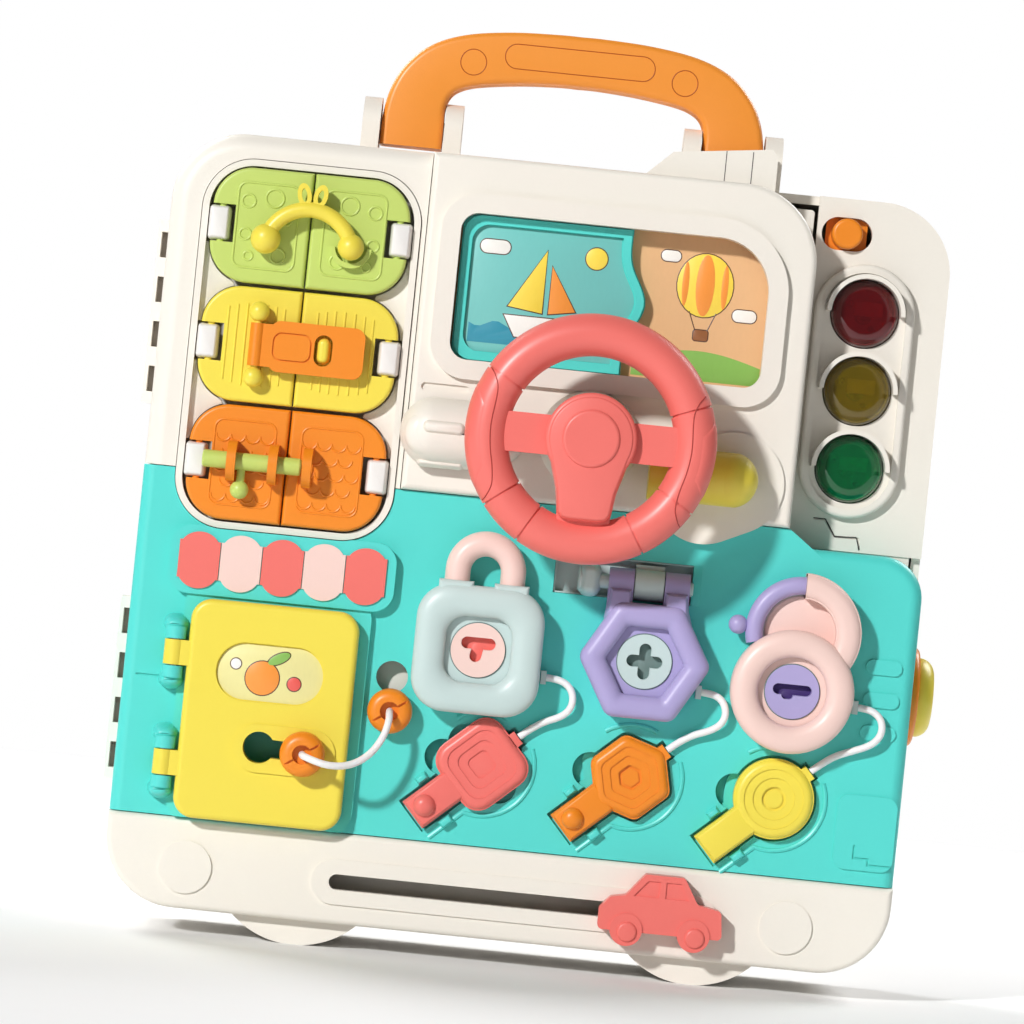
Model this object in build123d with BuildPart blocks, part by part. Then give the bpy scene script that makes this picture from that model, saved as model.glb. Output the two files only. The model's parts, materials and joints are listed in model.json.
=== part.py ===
"""Bus-shaped busy board in a flat carry case: doors, latches, padlocks with keys, a steering
wheel and traffic lamps on one moulded front.

Millimetres, +Z up, and the play side faces -Y. Pieces are drawn about the ground under the case's
middle and the play side's flat face, with depths given as heights above that face, towards the
child. save() then moves each one by frame_shift, so that in the files the origin is the middle
of the base of the box around the whole part.
"""

import math
import os

from build123d import *

os.makedirs("parts", exist_ok=True)

# ---- Driving dimensions ----------------------------------------------------------------------

# Case
case_width = 263.0
case_bottom = 8.5
case_top = 268.0
case_depth = 62.0
case_corner = 24.0
front_depth = 26.0  # the front mouldings' share of the case's depth
wall = 3.0
seam = 0.3  # gap between neighbouring mouldings
edge_round = 2.0
base_top = 39.0
teal_top = 155.0
teal_shoulder = 149.0
seam_x = -45.5
screen_right = 85.0
screen_proud = 3.0
panel_drop = 22.0  # how far the lamp panel is set back
panel_thick = 4.0

# Engraved lines
groove_width = 0.7
groove_depth = 0.6

# Fits
running = 0.05  # a pin in its bore
slack = 0.4  # a moving piece beside a fixed one

# Feet
foot_spread = 133.0
foot_radius = 30.2
foot_axis_z = 30.0
foot_margin = 5.0

# Carry handle
handle_width = 130.0
handle_leg = 21.0
handle_rise = 38.0  # its top above the pivot
handle_thick = 14.0
pivot_rise = 9.5  # the pivot above the case
handle_mid = -34.0  # height of its middle plane
handle_pin_radius = 3.0
post_width = 6.0

# Windscreen and sliding picture
window_left = -34.0
window_right = 70.0
window_low = 200.0
window_high = 249.0
window_corner = 6.0
lip = 2.0  # how far the slider's channel runs behind the frame
pocket_floor = -6.5
picture_thick = 1.5
slider_width = 62.0
slider_plate = 3.0

# Steering wheel
wheel_x = 15.5
wheel_z = 177.4
rim_radius = 34.0
rim_tube = 7.0
rim_height = 36.0
hub_radius = 15.0
hub_thick = 14.0
column_radius = 17.0
column_pin_radius = 4.0
hub_cap_radius = 9.5
hub_cap_proud = 1.6
hub_cap_seat = 1.0

# Stalks
stalk_pin_radius = 3.0
turn_stalk_x = -14.0
turn_stalk_z = 174.5
turn_stalk_length = 40.0
turn_stalk_width = 16.0
wiper_stalk_x = 43.0
wiper_stalk_z = 169.0
wiper_stalk_radius = 9.0
wiper_stalk_length = 36.0

# Double doors
bay_width = 73.0
bay_height = 123.4
bay_x = -84.0
bay_z = 197.8
bay_corner = 17.0
bay_wall = 2.2
bay_floor = -12.0
leaf_width = 32.6
leaf_height = 38.4
leaf_pitch = 39.6
leaf_gap = 0.5
leaf_thick = 4.0
leaf_front = 3.0
leaf_corner = 13.0
hinge_inset = 3.2  # from a leaf's outer edge to its hinge line
hinge_pin_radius = 1.2
knuckle_radius = 2.5
knuckle_height = 9.6
notch_height = 12.6
notch_depth = 6.6

# Latches on the doors
swing_reach = 28.4
swing_tube = 2.6
swing_ball = 5.0
swing_height = 8.5
hasp_width = 17.0
hasp_length = 36.0
hasp_thick = 3.0
hasp_lift = 5.0
bolt_radius = 2.9
bolt_length = 32.8
bolt_height = 7.6
ring_tube = 1.5
ring_gap = 0.8  # between the bolt and its rings

# Shop door
shop_x = -82.0
shop_z = 76.0
shop_width = 56.0
shop_height = 73.0
shop_back = 3.5
shop_thick = 6.0
shop_corner = 7.0
shop_bay_floor = -8.0
shop_hinge_x = -114.6
shop_hinge_height = 6.5
shop_pin_radius = 1.5
shop_knuckle_radius = 3.4
shop_knuckle_length = 8.3
shop_hinge_z = (93.8, 57.2)
keyhole_radius = 5.3
keyhole_slot = 6.2
bead_radius = 7.5
bead_thick = 8.5
bead_neck = 2.6
cord_radius = 1.2

# Padlocks
lock_thick = 12.0
lock_lift = 0.4
lock_edge = 4.0
dial_radius = 9.0
square_lock = (-14.3, 104.5)
square_size = 42.0
hex_lock = (41.0, 106.3)
hex_radius = 21.8
round_lock = (90.7, 101.3)
round_radius = 20.3
shackle_tube = 4.2
shackle_spread = 9.2
shackle_top = 144.0
shackle_seat = 8.0
axle_z = 131.5
axle_height = 4.0
axle_radius = 2.4
axle_gap = 0.7  # between the axle and its lugs
axle_pocket = (8.5, 57.5)
arm_end = 5.0
arm_width = 8.3
arm_spread = 18.7
ring_centre = (91.9, 121.0)
ring_radius = 15.6
carabiner_tube = 3.0

# Keys
key_thick = 6.0
key_floor = -3.0
key_angle = 222.0
key_length = 28.7
key_stem = 11.0
key_pocket_gap = 1.0
key_lug = 15.0  # from the head's centre to the lug that holds the cord
key_lug_width = 5.0

# Car slider
track_z = 22.7
track_left = -56.0
track_right = 68.0
track_width = 5.2
car_x = 54.8
car_thick = 7.0
base_proud = 1.0

# Traffic lamps
lamp_x = 104.0
lamp_z = (229.6, 203.4, 177.1)
lamp_radius = 11.4
lens_wall = 1.2
bezel_width = 34.0
bezel_height = 86.0
bezel_proud = 4.0
switch_x = 95.5
switch_z = 256.0
switch_radius = 5.2
switch_travel = 6.0

# Side button
button_z = 102.0
button_radius = 13.5
button_ring = 17.0
button_proud = 10.0
button_depth = -44.0

# Side rails
rail_out = 5.0
rail_depth = 8.0
rail_window = 8.7
rail_pitch = 15.2
rail_z = (206.7, 78.6)

# ---- Values that follow from them ------------------------------------------------------------

case_height = case_top - case_bottom
case_mid_z = (case_top + case_bottom) / 2
case_side = case_width / 2
handle_pivot_z = case_top + pivot_rise
handle_top = handle_pivot_z + handle_rise
post_radius = pivot_rise  # the posts' round tops
handle_pivot_x = (handle_width - handle_leg) / 2
leaf_rows = [bay_z + row * leaf_pitch for row in (1, 0, -1)]
leaf_back = leaf_front - leaf_thick
hinge_offset = leaf_width + leaf_gap / 2 - hinge_inset
hinge_height = (leaf_front + leaf_back) / 2
shop_front = shop_back + shop_thick
bolt_ring_radius = bolt_radius + ring_gap + ring_tube
hub_back = rim_height - hub_thick / 2 + 1
column_top = hub_back - slack
column_pin_length = 10.0
hub_front = hub_back + hub_thick
frame_shift = (-(button_proud - rail_out) / 2, -(case_depth - hub_front - hub_cap_proud) / 2, 0)


def front(height):
    """Plane of the play side at a height towards the child; x stays x and y is up."""
    return Plane.XZ.offset(height)


def save(piece, name):
    """Move a finished piece into the part's frame, label it and write its STEP file."""
    placed = piece.moved(Location(frame_shift))
    placed.label = name
    export_step(placed, f"parts/{name}.step")


def block(left, right, low, high, back, fore):
    """A plain box between two sides, two levels and two heights."""
    with BuildPart() as made:
        with BuildSketch(front(back)):
            with Locations(((left + right) / 2, (low + high) / 2)):
                Rectangle(right - left, high - low)
        extrude(amount=fore - back)
    return made.part


def round_bar(x, z, radius, back, fore):
    """A round bar that stands on the play side."""
    with BuildPart() as made:
        with BuildSketch(front(back)):
            with Locations((x, z)):
                Circle(radius)
        extrude(amount=fore - back)
    return made.part


def rod_z(x, height, radius, low, high):
    """A round rod that runs up and down."""
    with BuildPart() as made:
        with BuildSketch(Plane.XY.offset(low)):
            with Locations((x, -height)):
                Circle(radius)
        extrude(amount=high - low)
    return made.part


def rod_x(z, height, radius, left, right):
    """A round rod that runs from left to right."""
    with BuildPart() as made:
        with BuildSketch(Plane.YZ.offset(left)):
            with Locations((-height, z)):
                Circle(radius)
        extrude(amount=right - left)
    return made.part


def square_bore(z, height, half_side, left, right):
    """A square passage along X, centred on an axis."""
    return block(left, right, z - half_side, z + half_side, height - half_side, height + half_side)


def stadium(x, z, length, width, angle=0.0):
    """A slot-shaped sketch about a centre."""
    with BuildSketch(Plane.XY) as made:
        with Locations(Location((x, z, 0), (0, 0, angle))):
            SlotOverall(length, width)
    return made.sketch


def keyhole(entry, seat):
    """A round entry with a slot that runs to a seat."""
    run = Vector(*seat) - Vector(*entry)
    middle = Vector(*entry) + run * 0.5
    with BuildSketch(Plane.XY) as made:
        with Locations(entry):
            Circle(keyhole_radius)
        add(stadium(middle.X, middle.Y, run.length + keyhole_slot, keyhole_slot,
                    math.degrees(math.atan2(run.Y, run.X))))
    return made.sketch


def dome(x, z, radius, back, fore, edge):
    """A round bar whose front edge is rounded."""
    with BuildPart() as made:
        add(round_bar(x, z, radius, back, fore))
        fillet(made.faces().sort_by(Axis.Y)[0].edges(), radius=edge)
    return made.part


def together(*pieces):
    """Several solids that are kept apart in one file."""
    return Compound([solid for piece in pieces for solid in piece.solids()])


def engraved(points, height):
    """A thin cut along straight runs, to be taken out of a flat face at a height."""
    with BuildPart() as made:
        for start, end in zip(points, points[1:]):
            run = Vector(*end) - Vector(*start)
            middle = Vector(*start) + run * 0.5
            with BuildSketch(front(height - groove_depth)):
                add(stadium(middle.X, middle.Y, run.length + groove_width, groove_width,
                            math.degrees(math.atan2(run.Y, run.X))))
            extrude(amount=2 * groove_depth)
    return made.part


def block_sketch(left, right, low, high):
    """A plain rectangle between two sides and two levels."""
    with BuildSketch(Plane.XY) as made:
        with Locations(((left + right) / 2, (low + high) / 2)):
            Rectangle(right - left, high - low)
    return made.sketch


# ---- Case ------------------------------------------------------------------------------------


def case_outline(inset=0.0):
    """The case's front outline as a sketch on the XZ plane, drawn in by an inset."""
    with BuildSketch(Plane.XY) as made:
        with Locations((0, case_mid_z)):
            RectangleRounded(case_width - 2 * inset, case_height - 2 * inset, case_corner - inset)
    return made.sketch


def cell(left, right, low, high, inset=0.0):
    """The part of the case's outline that lies inside a box, drawn in by an inset."""
    with BuildSketch(Plane.XY) as made:
        add(case_outline(inset))
        with Locations(((left + right) / 2, (low + high) / 2)):
            Rectangle(right - left - 2 * inset, high - low - 2 * inset, mode=Mode.INTERSECT)
    return made.sketch


screw_places = [(-112, 60), (-112, 138), (-112, 225), (112, 60), (112, 138), (76, 225)]
battery_width, battery_height, battery_z = 74.0, 52.0, 96.0
cover_thick = 2.0

with BuildPart() as rear_shell:
    with BuildSketch(front(-case_depth)):
        add(case_outline())
    extrude(amount=case_depth - front_depth)
    fillet(rear_shell.faces().sort_by(Axis.Y)[-1].edges(), radius=2 * edge_round)
    with BuildSketch(front(-front_depth)):
        add(case_outline(wall))
    extrude(amount=-(case_depth - front_depth - wall), mode=Mode.SUBTRACT)
    with BuildSketch(front(-case_depth)):
        with Locations((0, battery_z)):
            RectangleRounded(battery_width, battery_height, 4)
    extrude(amount=cover_thick, mode=Mode.SUBTRACT)
    # screw towers, open at the back
    with BuildSketch(front(wall - case_depth)):
        with Locations(*screw_places):
            Circle(5.5)
    extrude(amount=case_depth - front_depth - wall)
    with BuildSketch(front(-case_depth)):
        with Locations(*screw_places):
            Circle(3.6)
    extrude(amount=6.0, mode=Mode.SUBTRACT)
    # ladder-like rails down the left side
    rail_fore = -front_depth - 2
    for centre_z in rail_z:
        rail_half = 2.05 * rail_pitch
        add(block(-case_side - rail_out, 0.1 - case_side, centre_z - rail_half, centre_z + rail_half,
                  rail_fore - rail_depth, rail_fore))
        for step in (-1.5, -0.5, 0.5, 1.5):
            middle = centre_z + step * rail_pitch
            add(block(1.2 - case_side - rail_out, -case_side, middle - rail_window / 2,
                      middle + rail_window / 2, rail_fore - rail_depth - 1, rail_fore + 1),
                mode=Mode.SUBTRACT)
    # bore of the side button
    add(rod_x(button_z, button_depth, button_radius + 0.3, case_side - 2 * wall, case_side + 1),
        mode=Mode.SUBTRACT)
save(rear_shell.part, "rear_shell")

with BuildPart() as battery_cover:
    with BuildSketch(front(-case_depth)):
        with Locations((0, battery_z)):
            RectangleRounded(battery_width - 2 * seam, battery_height - 2 * seam, 4 - seam)
    extrude(amount=cover_thick)
    with BuildSketch(front(-case_depth)):
        with Locations((0, battery_z + 14)):
            RectangleRounded(18, 6, 2.9)
    extrude(amount=1.0, mode=Mode.SUBTRACT)
    with BuildSketch(front(-case_depth)):
        with Locations((0, battery_z - 17)):
            Circle(3.2)
    extrude(amount=cover_thick, mode=Mode.SUBTRACT)
save(battery_cover.part, "battery_cover")

with BuildPart() as case_screws:
    with BuildSketch(front(4.0 - case_depth)):
        with Locations(*screw_places):
            Circle(3.0)
    extrude(amount=2.0)
    with BuildSketch(front(4.0 - case_depth)):
        with Locations(*screw_places):
            Rectangle(3.6, 0.9)
            Rectangle(0.9, 3.6)
    extrude(amount=1.0, mode=Mode.SUBTRACT)
    with BuildSketch(front(0.6 - case_depth)):
        with Locations((0, battery_z - 17)):
            Circle(2.8)
    extrude(amount=cover_thick - 0.6)
save(case_screws.part, "case_screws")


def bay_outline(grow=0.0):
    """The door bay's outline, grown by a margin."""
    with BuildSketch(Plane.XY) as made:
        with Locations((bay_x, bay_z)):
            RectangleRounded(bay_width + 2 * grow, bay_height + 2 * grow, bay_corner + grow)
    return made.sketch


with BuildPart() as left_panel:
    with BuildSketch(front(-front_depth)):
        add(cell(-case_side, seam_x - seam / 2, teal_top + seam / 2, case_top))
    extrude(amount=front_depth)
    fillet(
        left_panel.faces().sort_by(Axis.Y)[0].edges().filter_by(GeomType.CIRCLE)
        + left_panel.faces().sort_by(Axis.Y)[0].edges().sort_by(Axis.X)[:1]
        + left_panel.faces().sort_by(Axis.Y)[0].edges().sort_by(Axis.Z)[-1:],
        radius=3 * edge_round,
    )
    with BuildSketch(front(-front_depth)):
        add(cell(-case_side, seam_x - seam / 2, teal_top + seam / 2, case_top, wall))
    extrude(amount=front_depth - wall, mode=Mode.SUBTRACT)
    with BuildSketch(front(-front_depth)):
        add(bay_outline(seam))
    extrude(amount=front_depth, mode=Mode.SUBTRACT)
save(left_panel.part, "left_panel")


def windscreen_outline(inset=0.0):
    """Upper front with its rounded shoulder and the bump on the roof."""
    with BuildSketch(Plane.XY) as made:
        left, low = seam_x + seam / 2 + inset, teal_top + seam / 2 + inset
        right, high = screen_right - inset, case_top - inset
        shoulder = 26.0 - inset
        with BuildLine():
            Polyline((left, high), (left, low), (right, low), (right, high - shoulder))
            RadiusArc((right, high - shoulder), (right - shoulder, high), -shoulder)
            Line((right - shoulder, high), (left, high))
        make_face()
    return made.sketch


def window_outline(grow=0.0):
    """The windscreen's opening, with a large radius at its outer top corner."""
    with BuildSketch(Plane.XY) as made:
        left, right = window_left - grow, window_right + grow
        low, high = window_low - grow, window_high + grow
        corner = 18.0 + grow
        with BuildLine():
            Polyline((left, high), (left, low), (right, low), (right, high - corner))
            RadiusArc((right, high - corner), (right - corner, high), -corner)
            Line((right - corner, high), (left, high))
        make_face()
        square = made.vertices().filter_by(lambda point: point.X < left + 1 or point.Y < low + 1)
        fillet(square, window_corner + grow)
    return made.sketch


def channel_outline(gap=0.0):
    """The slider's channel behind the window frame: the window, higher and lower by the lip."""
    return block_sketch(
        window_left - lip + gap, window_right + lip - gap,
        window_low - lip + gap, window_high + lip - gap,
    )


with BuildPart() as windscreen:
    with BuildSketch(front(-front_depth)):
        add(windscreen_outline())
    extrude(amount=front_depth + screen_proud)
    fillet(
        windscreen.faces().sort_by(Axis.Y)[0].edges(),
        radius=edge_round,
    )
    with BuildSketch(front(-front_depth)):
        add(windscreen_outline(wall))
    extrude(amount=front_depth + screen_proud - wall, mode=Mode.SUBTRACT)
    # roof bump in front of the right handle post
    with BuildSketch(front(handle_mid + post_radius + seam)):
        with BuildLine():
            Polyline((22, case_top - wall), (34, case_top + 8.5), (67, case_top + 12.5), (69, case_top + 10),
                     (69, case_top - 13), (22, case_top - 13), close=True)
        make_face()
    extrude(amount=19.5)
    # raised frame, the window and the slider's channel
    with BuildSketch(front(0.5)):
        add(window_outline(6.5))
    extrude(amount=screen_proud + 2.0)
    with BuildSketch(front(pocket_floor - 2.5)):
        add(window_outline(lip + 2.5))
    extrude(amount=2.5 - pocket_floor)
    with BuildSketch(front(pocket_floor)):
        add(channel_outline())
    extrude(amount=-pocket_floor - 1.0, mode=Mode.SUBTRACT)
    with BuildSketch(front(-2.0)):
        add(window_outline())
    extrude(amount=12.0, mode=Mode.SUBTRACT)
    # stalk pins
    with BuildSketch(front(screen_proud - 1)):
        with Locations((turn_stalk_x, turn_stalk_z), (wiper_stalk_x, wiper_stalk_z)):
            Circle(stalk_pin_radius)
    extrude(amount=9.0)
    # steering column with the wheel's pin, and the pod behind the wiper stalk
    with BuildSketch(front(screen_proud - 1)):
        with Locations((wheel_x, wheel_z)):
            Circle(column_radius)
    extrude(amount=column_top - screen_proud + 1, taper=8)
    with BuildSketch(front(column_top)):
        with Locations((wheel_x, wheel_z)):
            Circle(column_pin_radius)
    extrude(amount=column_pin_length)
    with BuildSketch(front(seam)):
        add(stadium(60, 166, 44, 34, 25))
    extrude(amount=screen_proud + 1 - seam)
    # mouldings under the window: two shallow vents
    with BuildSketch(front(screen_proud)):
        with Locations((-34, 190), (-34, 184)):
            SlotOverall(16, 2.6)
    extrude(amount=-1.0, mode=Mode.SUBTRACT)
save(windscreen.part, "windscreen")

with BuildPart() as picture_panel:
    with BuildSketch(front(pocket_floor)):
        add(channel_outline(seam))
    extrude(amount=picture_thick)
save(picture_panel.part, "picture_panel")

slider_left = window_left + 0.6
slider_back = pocket_floor + picture_thick + 0.3


def slider_outline(inset, low, high):
    """Sliding picture with a soft wave down its free edge."""
    right = slider_left + slider_width - inset
    left = slider_left + inset
    middle = (low + high) / 2
    with BuildSketch(Plane.XY) as made:
        with BuildLine():
            Polyline((right - 5, low), (left, low), (left, high), (right - 5, high))
            Spline(
                (right - 5, high), (right - 4, middle + 12), (right + 1, middle),
                (right - 4, middle - 12), (right - 5, low),
                tangents=((0, -1), (0, -1)),
            )
        make_face()
        fillet(made.vertices().filter_by(lambda point: point.X < left + 1), window_corner)
    return made.sketch


with BuildPart() as picture_slider:
    with BuildSketch(front(slider_back)):
        add(slider_outline(0, window_low - lip + slack, window_high + lip - slack))
    extrude(amount=slider_plate)
    with BuildSketch(front(slider_back + slider_plate)):
        add(slider_outline(0.6, window_low + slack, window_high - slack))
    extrude(amount=2.4)
    with BuildSketch(front(slider_back + slider_plate + 2.4)):
        add(slider_outline(3.4, window_low + 3.2, window_high - 3.2))
    extrude(amount=-1.8, mode=Mode.SUBTRACT)
save(picture_slider.part, "picture_slider")

# ---- Lower front -----------------------------------------------------------------------------


def key_head(shape, centre, size):
    """A key's head: a square, a hexagon or a circle."""
    with BuildSketch(Plane.XY) as made:
        with Locations(Location((centre[0], centre[1], 0), (0, 0, key_angle + 45 * (shape == "square")))):
            if shape == "round":
                Circle(size)
            elif shape == "square":
                RectangleRounded(1.72 * size, 1.72 * size, 0.4 * size)
            else:
                RegularPolygon(radius=1.08 * size, side_count=6)
        if shape == "hexagon":
            fillet(made.vertices(), 0.25 * size)
    return made.sketch


def key_outline(shape, centre, size, grow=0.0):
    """A whole key seen from the front: head and stem, grown by a margin."""
    direction = Vector(math.cos(math.radians(key_angle)), math.sin(math.radians(key_angle)))
    start = Vector(*centre)
    with BuildSketch(Plane.XY) as made:
        add(key_head(shape, centre, size + grow))
        stem_middle = start + direction * ((key_length + grow) / 2)
        with Locations(Location((stem_middle.X, stem_middle.Y, 0), (0, 0, key_angle))):
            Rectangle(key_length + grow, key_stem + 2 * grow)
        lug_middle = start - direction * ((key_lug + grow) / 2)
        with Locations(Location((lug_middle.X, lug_middle.Y, 0), (0, 0, key_angle))):
            Rectangle(key_lug + grow, key_lug_width + 2 * grow)
    return made.sketch


# name, head shape, head centre, head size
keys = (
    ("key_square", "square", (-9.1, 66.7), 13.4),
    ("key_hex", "hexagon", (40.4, 67.3), 13.4),
    ("key_round", "round", (88.6, 65.0), 13.4),
)

board_hole = (-41.9, 92.5)
board_bead = (-41.4, 81.3)


def lower_outline(inset=0.0):
    """Lower front: full width, with a lower shoulder beside the windscreen."""
    with BuildSketch(Plane.XY) as made:
        left, right = inset - case_side, case_side - inset
        low, high = base_top + seam / 2 + inset, teal_top - seam / 2 - inset
        shoulder = teal_shoulder - inset
        step = screen_right + seam - inset
        corner = 14.0 - inset
        with BuildLine():
            Polyline((left, high), (left, low), (right, low), (right, shoulder - corner))
            RadiusArc((right, shoulder - corner), (right - corner, shoulder), -corner)
            Polyline((right - corner, shoulder), (step + 8, shoulder), (step, high), (left, high))
        make_face()
    return made.sketch


shop_left = shop_x - shop_width / 2
awning_z, awning_width, awning_height = 125.0, 75.5, 23.0

with BuildPart() as lower_front:
    with BuildSketch(front(-front_depth)):
        add(lower_outline())
    extrude(amount=front_depth)
    outer = lower_front.faces().sort_by(Axis.Y)[0].edges()
    fillet(outer.sort_by(Axis.X)[:1] + outer.sort_by(Axis.X)[-1:] + outer.filter_by(GeomType.CIRCLE),
           radius=2 * edge_round)
    with BuildSketch(front(-front_depth)):
        add(lower_outline(wall))
    extrude(amount=front_depth - wall, mode=Mode.SUBTRACT)
    # surround of the shop door and the awning's platform
    with BuildSketch(front(-wall)):
        with Locations((shop_x + 0.3, shop_z + 2)):
            RectangleRounded(shop_width + 6.4, shop_height + 9, 9)
        add(lower_outline(), mode=Mode.INTERSECT)
    extrude(amount=wall + 2.6)
    with BuildSketch(front(-wall)):
        with Locations((-81.8, awning_z)):
            RectangleRounded(awning_width, awning_height, 7)
    extrude(amount=wall + 4.0)
    # the shop's bay
    with BuildSketch(front(shop_bay_floor - 2)):
        with Locations((shop_x, shop_z)):
            RectangleRounded(shop_width - 8, shop_height - 8, 5)
    extrude(amount=-shop_bay_floor)
    with BuildSketch(front(shop_bay_floor)):
        with Locations((shop_x, shop_z)):
            RectangleRounded(shop_width - 12, shop_height - 12, 4)
    extrude(amount=12.0, mode=Mode.SUBTRACT)
    # hinge ears of the shop door
    for hinge_z in shop_hinge_z:
        for side in (-1, 1):
            near = hinge_z + side * (shop_knuckle_length / 2 + slack)
            far = near + side * 4.0
            add(rod_z(shop_hinge_x, shop_hinge_height, shop_knuckle_radius, min(near, far), max(near, far)))
            add(block(shop_hinge_x - shop_knuckle_radius, shop_hinge_x + shop_knuckle_radius,
                      min(near, far), max(near, far), -wall, shop_hinge_height))
        add(rod_z(shop_hinge_x, shop_hinge_height, shop_pin_radius + running, hinge_z - 10, hinge_z + 10),
            mode=Mode.SUBTRACT)
    # the door bay passes through the upper edge
    with BuildSketch(front(-front_depth)):
        add(bay_outline(seam))
    extrude(amount=front_depth + 6, mode=Mode.SUBTRACT)
    # keyhole for the loose bead
    with BuildSketch(front(-wall)):
        add(keyhole(board_hole, board_bead))
    extrude(amount=wall, mode=Mode.SUBTRACT)
    # pocket of the hexagonal lock's axle
    add(block(axle_pocket[0] - 2, axle_pocket[1] + 2, 124, 141.5, -8, -wall))
    with BuildSketch(front(-6)):
        add(block_sketch(axle_pocket[0], axle_pocket[1], 126, 139.5))
    extrude(amount=6, mode=Mode.SUBTRACT)
    # key recesses with a finger hollow beside each head
    for name, shape, centre, size in keys:
        with BuildSketch(front(key_floor - 2)):
            add(key_outline(shape, centre, size, key_pocket_gap + 2))
            add(lower_outline(seam), mode=Mode.INTERSECT)
        extrude(amount=1.9)
    for name, shape, centre, size in keys:
        with BuildSketch(front(key_floor)):
            add(key_outline(shape, centre, size, key_pocket_gap))
            with Locations((centre[0] - size, centre[1] + 1.0)):
                Circle(6.0)
        extrude(amount=-key_floor, mode=Mode.SUBTRACT)
    # raised corner pad with a stepped line, and a seam at the left edge
    with BuildSketch(front(-0.2)):
        with Locations((120.2, 56.5)):
            RectangleRounded(20, 25, 4)
    extrude(amount=1.0)
    add(engraved(((117, 52), (117, 48), (122, 48), (122, 46), (130, 46)), 0.8), mode=Mode.SUBTRACT)
    add(engraved(((-118.5, 85), (shop_hinge_x - 12, 85)), 0), mode=Mode.SUBTRACT)
    # three ribs of a radiator grille on the right
    for level in (112.0, 101.0, 90.0):
        with BuildSketch(front(-0.2)):
            add(stadium(121, level, 12, 5))
        extrude(amount=1.0)
save(lower_front.part, "lower_front")

with BuildPart() as door_bay:
    with BuildSketch(front(bay_floor - bay_wall)):
        add(bay_outline())
    extrude(amount=-(bay_floor - bay_wall) + 0.8)
    with BuildSketch(front(bay_floor)):
        add(bay_outline(-bay_wall))
    extrude(amount=1 - bay_floor, mode=Mode.SUBTRACT)
save(door_bay.part, "door_bay")

with BuildPart() as base_bumper:
    with BuildSketch(front(-front_depth)):
        add(cell(-case_side, case_side, case_bottom, base_top - seam / 2))
    extrude(amount=front_depth + base_proud)
    fillet(base_bumper.faces().sort_by(Axis.Y)[0].edges(), radius=edge_round)
    with BuildSketch(front(-front_depth)):
        add(cell(-case_side, case_side, case_bottom, base_top - seam / 2, wall))
    extrude(amount=front_depth + base_proud - wall, mode=Mode.SUBTRACT)
    with BuildSketch(front(0)):
        add(stadium((track_left + track_right) / 2, track_z, track_right - track_left + 12, 15))
        with Locations((-104.1, 22.6), (96.9, 22.6)):
            Circle(8.8)
    extrude(amount=base_proud + 0.8)
    with BuildSketch(front(-wall)):
        add(stadium((track_left + track_right) / 2, track_z, track_right - track_left, track_width))
    extrude(amount=2 * wall, mode=Mode.SUBTRACT)
save(base_bumper.part, "base_bumper")

with BuildPart() as wheel_feet:
    with BuildSketch(front(foot_margin - case_depth)):
        with Locations((-foot_spread / 2, foot_axis_z), (foot_spread / 2, foot_axis_z)):
            Circle(foot_radius)
        with Locations((0, case_bottom / 2)):
            Rectangle(2 * case_width, case_bottom, mode=Mode.INTERSECT)
    extrude(amount=case_depth - 2 * foot_margin)
save(wheel_feet.part, "wheel_feet")

# ---- Awning stripes --------------------------------------------------------------------------

stripe_width = 13.6
stripe_height = 18.6
for name, numbers in (("awning_red", (-2, 0, 2)), ("awning_pink", (-1, 1))):
    with BuildPart() as stripes:
        with BuildSketch(front(4.0)):
            for number in numbers:
                with Locations((-81.8 + number * (stripe_width + 0.3), awning_z)):
                    Rectangle(stripe_width, stripe_height - 6)
                    with Locations((0, 3.3)):
                        Ellipse(stripe_width / 2, 6.0)
                    with Locations((0, -3.6)):
                        Ellipse(stripe_width / 2, 6.0)
        extrude(amount=0.8)
    save(stripes.part, name)

# ---- Traffic lamps ---------------------------------------------------------------------------

switch_slot = 2 * switch_radius + switch_travel + 2 * slack

with BuildPart() as lamp_panel:
    with BuildSketch(front(-front_depth)):
        add(cell(screen_right + seam, case_side, teal_shoulder + seam, case_top))
        add(lower_outline(-seam), mode=Mode.SUBTRACT)
    extrude(amount=panel_thick)
    with BuildSketch(front(-front_depth)):
        with Locations(*[(lamp_x, z) for z in lamp_z]):
            Circle(lamp_radius + seam)
        add(stadium(switch_x, switch_z, switch_slot, 2 * (switch_radius + slack)))
    extrude(amount=panel_thick, mode=Mode.SUBTRACT)
    # stepped seam below the lamps
    add(engraved(((94.2, 159.4), (97.9, 159.4), (101.5, 154.0), (109.6, 154.0), (110.2, 150.4)), -panel_drop),
        mode=Mode.SUBTRACT)
save(lamp_panel.part, "lamp_panel")

with BuildPart() as lamp_bezel:
    with BuildSketch(front(-panel_drop)):
        add(stadium(lamp_x, lamp_z[1], bezel_height, bezel_width, 90))
    extrude(amount=bezel_proud)
    fillet(lamp_bezel.faces().sort_by(Axis.Y)[0].edges(), radius=1.5)
    with BuildSketch(front(bezel_proud - panel_drop)):
        add(stadium(lamp_x, lamp_z[1], bezel_height - 6, bezel_width - 6, 90))
    extrude(amount=-2.0, mode=Mode.SUBTRACT)
    # a hood over each lamp
    for z in lamp_z:
        with BuildSketch(front(2.0 - panel_drop)):
            with Locations((lamp_x, z)):
                Circle(lamp_radius + 1.8)
                Rectangle(2 * lamp_radius + 6, lamp_radius + 3, align=(Align.CENTER, Align.MAX),
                          mode=Mode.SUBTRACT)
        extrude(amount=8.0)
    with BuildSketch(front(-panel_drop)):
        with Locations(*[(lamp_x, z) for z in lamp_z]):
            Circle(lamp_radius + seam)
    extrude(amount=20.0, mode=Mode.SUBTRACT)
save(lamp_bezel.part, "lamp_bezel")

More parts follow.
